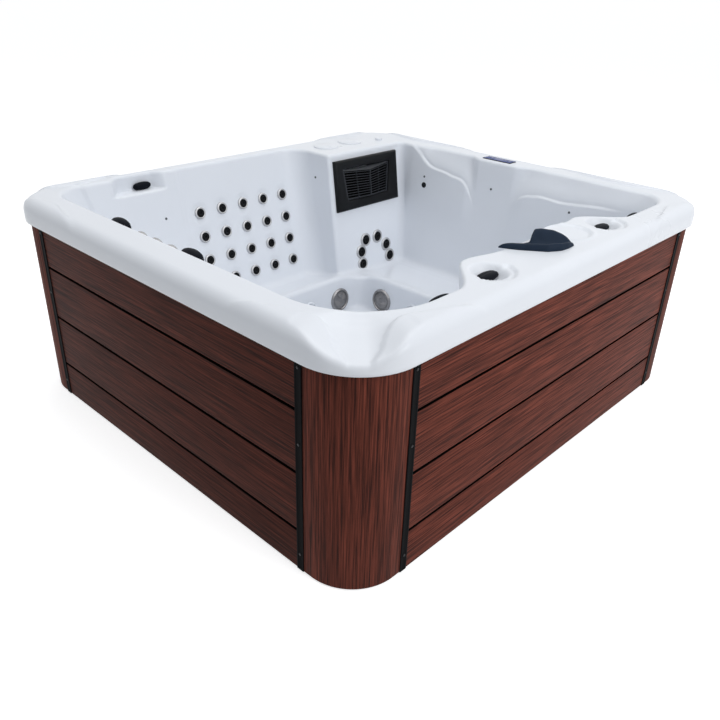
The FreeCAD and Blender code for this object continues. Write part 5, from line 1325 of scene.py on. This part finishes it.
class HOTTUB_OT_control_panel(bpy.types.Operator):
    """Builds the control panel in the back rim"""

    bl_idname = "hottub.control_panel"
    bl_label = "Control panel"

    def execute(self, context):
        blue = colours().panel
        gloss = moulded("panel_blue", blue, tint=0.15, rough=(0.1, 0.2), fine_scale=500.0, grain=0.03, coat=0.6)
        glass = moulded("display_dark", (0.008, 0.012, 0.02, 1), rough=(0.05, 0.1), coat=1.0)
        key = moulded("panel_keys", toned(blue, 3.0), tint=0.1, rough=(0.2, 0.3), grain=0.05)
        rows = [("control_housing", "panel_housing", 0.0012, black_plastic(), "black_plastic", ROOT),
                ("control_overlay", "panel_face", 0.0006, gloss, "panel_blue", ROOT),
                ("display_window", "panel_display", 0.0004, glass, "display_glass", ROOT)]
        for number in range(1, 5):
            node = f"control_button_{number}"
            rows.append((node, f"panel_key_{number}", 0.0007, key, "panel_blue", node))
        for node, name, edge, material, slot, body in rows:
            dress(block(name, *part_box(node), edge), material, [node], body=body)
        return {"FINISHED"}


# Pillows
def pillow_finish(name, colour):
    """Skinned foam with a fine leathery texture."""
    return moulded(name, colour, tint=0.2, rough=(0.42, 0.56), cloud_scale=20.0, fine_scale=420.0, grain=0.35,
                   gloss=0.05)


def foam_pillow(length, height, depth):
    """An oval foam pillow on local z 0: crowned in front, drawn in at its sides and back."""
    clear_selection()
    bpy.ops.mesh.primitive_cube_add(size=2)
    piece = bpy.context.object
    bpy.ops.object.mode_set(mode="EDIT")
    bpy.ops.mesh.subdivide(number_cuts=7)
    bpy.ops.object.mode_set(mode="OBJECT")
    cast = piece.modifiers.new("Crown", "CAST")
    cast.factor = 0.86
    cast.use_radius_as_size = True
    rounder = piece.modifiers.new("Round", "SUBSURF")
    rounder.levels = rounder.render_levels = 1
    apply_modifiers(piece)
    reach = max(v.co.x for v in piece.data.vertices)
    for vertex in piece.data.vertices:
        x, y, z = vertex.co / reach
        crease = 0.05 * math.exp(-(y / 0.16) ** 2) * max(z, 0.0)
        front = (z * 0.62 + 0.38) * (1 - crease)
        tuck = 1.0 - 0.10 * max(-z, 0.0)
        vertex.co = (x * tuck * length / 2, y * tuck * height / 2, max(front, 0.0) * depth + SEATED)
    return piece


class HOTTUB_OT_pillows(bpy.types.Operator):
    """Makes the small pillows round the rim"""

    bl_idname = "hottub.pillows"
    bl_label = "Pillows"

    def execute(self, context):
        skin = pillow_finish("pillow_skin", colours().pillow)
        upright = Matrix(((0, 0, 1), (1, 0, 0), (0, 1, 0))).to_4x4()
        crosswise = Matrix.Rotation(math.radians(90), 4, "Z")
        in_left_pocket = Matrix.Translation((LEFT_POCKET_BACK, LEFT_PILLOW_Y, LEFT_POCKET_FLOOR + LEFT_PILLOW_LIFT))
        in_pockets = [Matrix.Translation((x - 0.009, y, POCKET_FLOOR)) for x, y in POCKETS]
        for node, size, places in (
                ("left_pillow", (0.090, 0.036, 0.024), [in_left_pocket @ upright]),
                ("front_pillows", (0.108, 0.054, 0.044), [wall_place("front", x, 0.811) for x in (-0.395, 0.058)]),
                ("corner_pillows", (0.112, 0.050, 0.026), [wall_place("right", y, 0.804) for y in (-0.600, 0.660)]),
                ("pocket_pillows", (0.112, 0.046, 0.024), [place @ crosswise for place in in_pockets])):
            piece = join(f"{node}_foam", copies(foam_pillow(*size), places))
            dress(piece, skin, [node])
        return {"FINISHED"}


def headrest_mesh():
    """The neck rest as a trough: a low tapered near arm, a tall far ear and a hollow between them, on the shelf."""
    base = shell_sizes().rim_top + SEATED
    tip, along, across = Vector((0.744, -0.149)), Vector((0.74, 0.67)).normalized(), Vector((-0.67, 0.74)).normalized()
    spans = ((0.0, 0.108, 12), (0.112, 0.132, 6), (0.140, 0.272, 20))
    stations = np.concatenate([np.linspace(*span) for span in spans])
    rows = 25
    points, faces = [], []
    for s in stations:
        near = np.interp(s, (0.0, 0.06, 0.166, 0.215, 0.245, 0.272), (0.010, -0.006, -0.016, 0.000, 0.026, 0.060))
        far = np.interp(s, (0.0, 0.03, 0.108, 0.132, 0.20, 0.25, 0.272),
                        (0.016, 0.024, 0.034, 0.094, 0.098, 0.092, 0.076))
        arm = np.interp(s, (0.0, 0.006, 0.02, 0.05, 0.12, 0.20, 0.25, 0.272),
                        (0.006, 0.012, 0.016, 0.018, 0.021, 0.023, 0.018, 0.006))
        ear = np.interp(s, (0.0, 0.108, 0.112, 0.118, 0.132, 0.155, 0.20, 0.23, 0.255, 0.272),
                        (0.0, 0.0, 0.024, 0.040, 0.049, 0.052, 0.046, 0.035, 0.020, 0.006))
        for k in range(rows):
            share = 0.5 - 0.5 * math.cos(math.pi * k / (rows - 1))
            t = near + (far - near) * share
            inside = min(t - near, far - t)
            edge = math.sqrt(max(0.0, 1 - max(0.0, 1 - inside / 0.012) ** 2))
            rise = float(smooth((t - near - 0.030) / max(far - near - 0.048, 0.008)))
            crown = arm * (1 - 0.45 * float(smooth((t - near - 0.016) / 0.020)) * (1 - rise))
            height = crown + max(ear - arm, 0.0) * rise ** 1.5
            spot = tip + along * float(s) + across * float(t)
            points.append((spot.x, spot.y, base + max(height * edge, 0.0006)))
    count = len(stations)
    under = len(points)
    points += [(x, y, base) for x, y, _ in points]
    for i in range(count - 1):
        for k in range(rows - 1):
            a = i * rows + k
            faces.append((a, a + rows, a + rows + 1, a + 1))
            faces.append((under + a, under + a + 1, under + a + rows + 1, under + a + rows))
        for k in (0, rows - 1):
            a = i * rows + k
            faces.append((a, under + a, under + a + rows, a + rows))
    for i in (0, count - 1):
        for k in range(rows - 1):
            a = i * rows + k
            faces.append((a, a + 1, under + a + 1, under + a))
    return points, faces


class HOTTUB_OT_headrest(bpy.types.Operator):
    """Makes the winged neck rest on the shelf"""

    bl_idname = "hottub.headrest"
    bl_label = "Headrest"

    def execute(self, context):
        points, faces = headrest_mesh()
        piece = mesh_piece("winged_headrest", points, faces)
        tidy_normals(piece)
        rounder = piece.modifiers.new("Round", "SUBSURF")
        rounder.levels = rounder.render_levels = 1
        apply_modifiers(piece)
        dress(piece, pillow_finish("headrest_skin", colours().headrest), ["neck_headrest"], angle=80)
        return {"FINISHED"}


# Pieces inside the cabinet and under the rim
class HOTTUB_OT_inner_works(bpy.types.Operator):
    """Finishes the pieces inside the cabinet"""

    bl_idname = "hottub.inner_works"
    bl_label = "Inner works"

    def execute(self, context):
        grey = moulded("grey_moulding", (0.16, 0.165, 0.175, 1), rough=(0.4, 0.55))
        dark = moulded("dark_tray", (0.02, 0.02, 0.021, 1), rough=(0.5, 0.65), fine_scale=200.0, grain=0.3)
        zinc = moulded("galvanised_steel", (0.42, 0.43, 0.45, 1), tint=0.2, rough=(0.35, 0.55), cloud_scale=30.0,
                       metallic=1.0)
        cloth = moulded("filter_cloth", (0.72, 0.75, 0.78, 1), rough=(0.7, 0.9), fine_scale=900.0, grain=0.5)
        paint = moulded("motor_paint", (0.07, 0.075, 0.085, 1), rough=(0.35, 0.5), fine_scale=350.0, grain=0.2)
        finishes = {"grey_plastic": grey, "tray_plastic": dark, "black_backing": gap_shade_black(), "frame_steel": zinc,
                    "filter_paper": cloth, "motor_paint": paint, "white_plastic": white_plastic(),
                    "black_plastic": black_plastic(), "stainless": polished_steel()}
        for entry in frame["record"]["subparts"]:
            node = frame["nodes"][entry["node"]]
            if not node.hide_render:
                node.data.materials.clear()
                node.data.materials.append(finishes[entry["material_slot"]])
        return {"FINISHED"}


# Stage
def seen_rays(tree):
    """Socket that is 1 for rays that show the background: the camera's, and those that metal and glass send on."""
    path = tree.nodes.new("ShaderNodeLightPath")
    shown = path.outputs["Is Camera Ray"]
    for label in ("Is Glossy Ray", "Is Transmission Ray"):
        higher = add_node(tree, "ShaderNodeMath", operation="MAXIMUM")
        tree.links.new(shown, higher.inputs[0])
        tree.links.new(path.outputs[label], higher.inputs[1])
        shown = higher.outputs[0]
    return shown


def studio_world():
    """A soft sky that lights the tub and looks white itself."""
    world = bpy.data.worlds.new("studio")
    world.use_nodes = True
    tree = world.node_tree
    sky = tree.nodes["Background"]
    sky.inputs["Color"].default_value = (0.93, 0.96, 1.0, 1)
    sky.inputs["Strength"].default_value = SKY_STRENGTH
    white = add_node(tree, "ShaderNodeBackground", Color=(1, 1, 1, 1), Strength=1.0)
    both = tree.nodes.new("ShaderNodeMixShader")
    tree.links.new(seen_rays(tree), both.inputs["Fac"])
    tree.links.new(sky.outputs["Background"], both.inputs[1])
    tree.links.new(white.outputs["Background"], both.inputs[2])
    tree.links.new(both.outputs["Shader"], tree.nodes["World Output"].inputs["Surface"])
    return world


def floor_material():
    """Pale floor, seen as near white by the camera while it keeps the shadow."""
    material, tree, shader = new_material("studio_floor")
    surface = placed_group(tree, surface_group(), cloud_scale=0.5, fine_scale=60.0)
    colour = colours().floor
    cloudy = mix_colours(tree, surface.outputs["Cloud"], toned(colour, 0.99), colour)
    tree.links.new(cloudy, shader.inputs["Base Color"])
    shader.inputs["Roughness"].default_value = 0.9
    shader.inputs["Specular IOR Level"].default_value = 0.1
    glow = add_node(tree, "ShaderNodeEmission", Color=(1, 1, 1, 1))
    level = add_node(tree, "ShaderNodeMath", operation="MULTIPLY")
    level.inputs[1].default_value = FLOOR_GLOW
    tree.links.new(seen_rays(tree), level.inputs[0])
    tree.links.new(level.outputs[0], glow.inputs["Strength"])
    both = tree.nodes.new("ShaderNodeAddShader")
    tree.links.new(shader.outputs["BSDF"], both.inputs[0])
    tree.links.new(glow.outputs["Emission"], both.inputs[1])
    tree.links.new(both.outputs["Shader"], tree.nodes["Material Output"].inputs["Surface"])
    return material


def area_light(name, place, aim, size, power):
    """A soft light at a place, turned to a point."""
    data = bpy.data.lights.new(name, "AREA")
    data.shape = "SQUARE"
    data.size = size
    data.energy = power
    lamp = bpy.data.objects.new(name, data)
    lamp.location = place
    lamp.rotation_euler = (Vector(aim) - Vector(place)).to_track_quat("-Z", "Y").to_euler()
    bpy.context.scene.collection.objects.link(lamp)


def photo_camera():
    """The camera at the photograph's place."""
    azimuth, elevation, roll = (math.radians(a) for a in (CAMERA_AZIMUTH, CAMERA_ELEVATION, CAMERA_ROLL))
    right = Vector((math.cos(azimuth), math.sin(azimuth), 0))
    away = Vector((math.sin(azimuth), -math.cos(azimuth), 0))
    back = away * math.cos(elevation) + Vector((0, 0, math.sin(elevation)))
    up = back.cross(right)
    across = right * math.cos(roll) + up * math.sin(roll)
    over = up * math.cos(roll) - right * math.sin(roll)
    data = bpy.data.cameras.new("photo_camera")
    data.lens = CAMERA_LENS
    data.sensor_width = 36.0
    camera = bpy.data.objects.new("photo_camera", data)
    place = Matrix((across, over, back)).transposed().to_4x4()
    place.translation = CAMERA_AT
    camera.matrix_world = place
    bpy.context.scene.collection.objects.link(camera)
    bpy.context.scene.camera = camera


class HOTTUB_OT_stage(bpy.types.Operator):
    """Sets the floor, lights and camera"""

    bl_idname = "hottub.stage"
    bl_label = "Stage"

    def execute(self, context):
        clear_selection()
        bpy.ops.mesh.primitive_plane_add(size=300)
        floor = bpy.context.object
        floor.name = "studio_floor"
        floor.data.materials.append(floor_material())
        context.scene.world = studio_world()
        for name, place, size, power in LAMPS:
            area_light(name, place, LAMP_AIM, size, power)
        photo_camera()
        context.scene.view_settings.view_transform = "Standard"
        return {"FINISHED"}


class HOTTUB_PT_panel(bpy.types.Panel):
    """Lists the hot tub's pieces"""

    bl_idname = "HOTTUB_PT_panel"
    bl_label = "Hot tub"
    bl_space_type = "VIEW_3D"
    bl_region_type = "UI"
    bl_category = "Hot tub"

    def draw(self, context):
        for operator in PIECES:
            self.layout.operator(operator.bl_idname)


PIECES = (HOTTUB_OT_stage, HOTTUB_OT_shell, HOTTUB_OT_boards, HOTTUB_OT_corner_panels, HOTTUB_OT_trim_strips,
          HOTTUB_OT_wall_jets, HOTTUB_OT_turning_jets, HOTTUB_OT_water_fittings, HOTTUB_OT_filter,
          HOTTUB_OT_valves, HOTTUB_OT_control_panel, HOTTUB_OT_pillows, HOTTUB_OT_headrest, HOTTUB_OT_inner_works)
CLASSES = (ShellSizes, CabinetSizes, TubColours) + PIECES + (HOTTUB_PT_panel,)


def register():
    """Registers the classes and their settings."""
    for item in CLASSES:
        bpy.utils.register_class(item)
    bpy.types.Scene.tub_shell_sizes = PointerProperty(type=ShellSizes)
    bpy.types.Scene.tub_cabinet_sizes = PointerProperty(type=CabinetSizes)
    bpy.types.Scene.tub_colours = PointerProperty(type=TubColours)


def unregister():
    """Removes the classes and their settings."""
    del bpy.types.Scene.tub_colours
    del bpy.types.Scene.tub_cabinet_sizes
    del bpy.types.Scene.tub_shell_sizes
    for item in reversed(CLASSES):
        bpy.utils.unregister_class(item)


def main():
    """Registers the classes and builds every piece."""
    register()
    for operator in PIECES:
        group, name = operator.bl_idname.split(".")
        getattr(getattr(bpy.ops, group), name)()


if __name__ == "__main__":
    main()
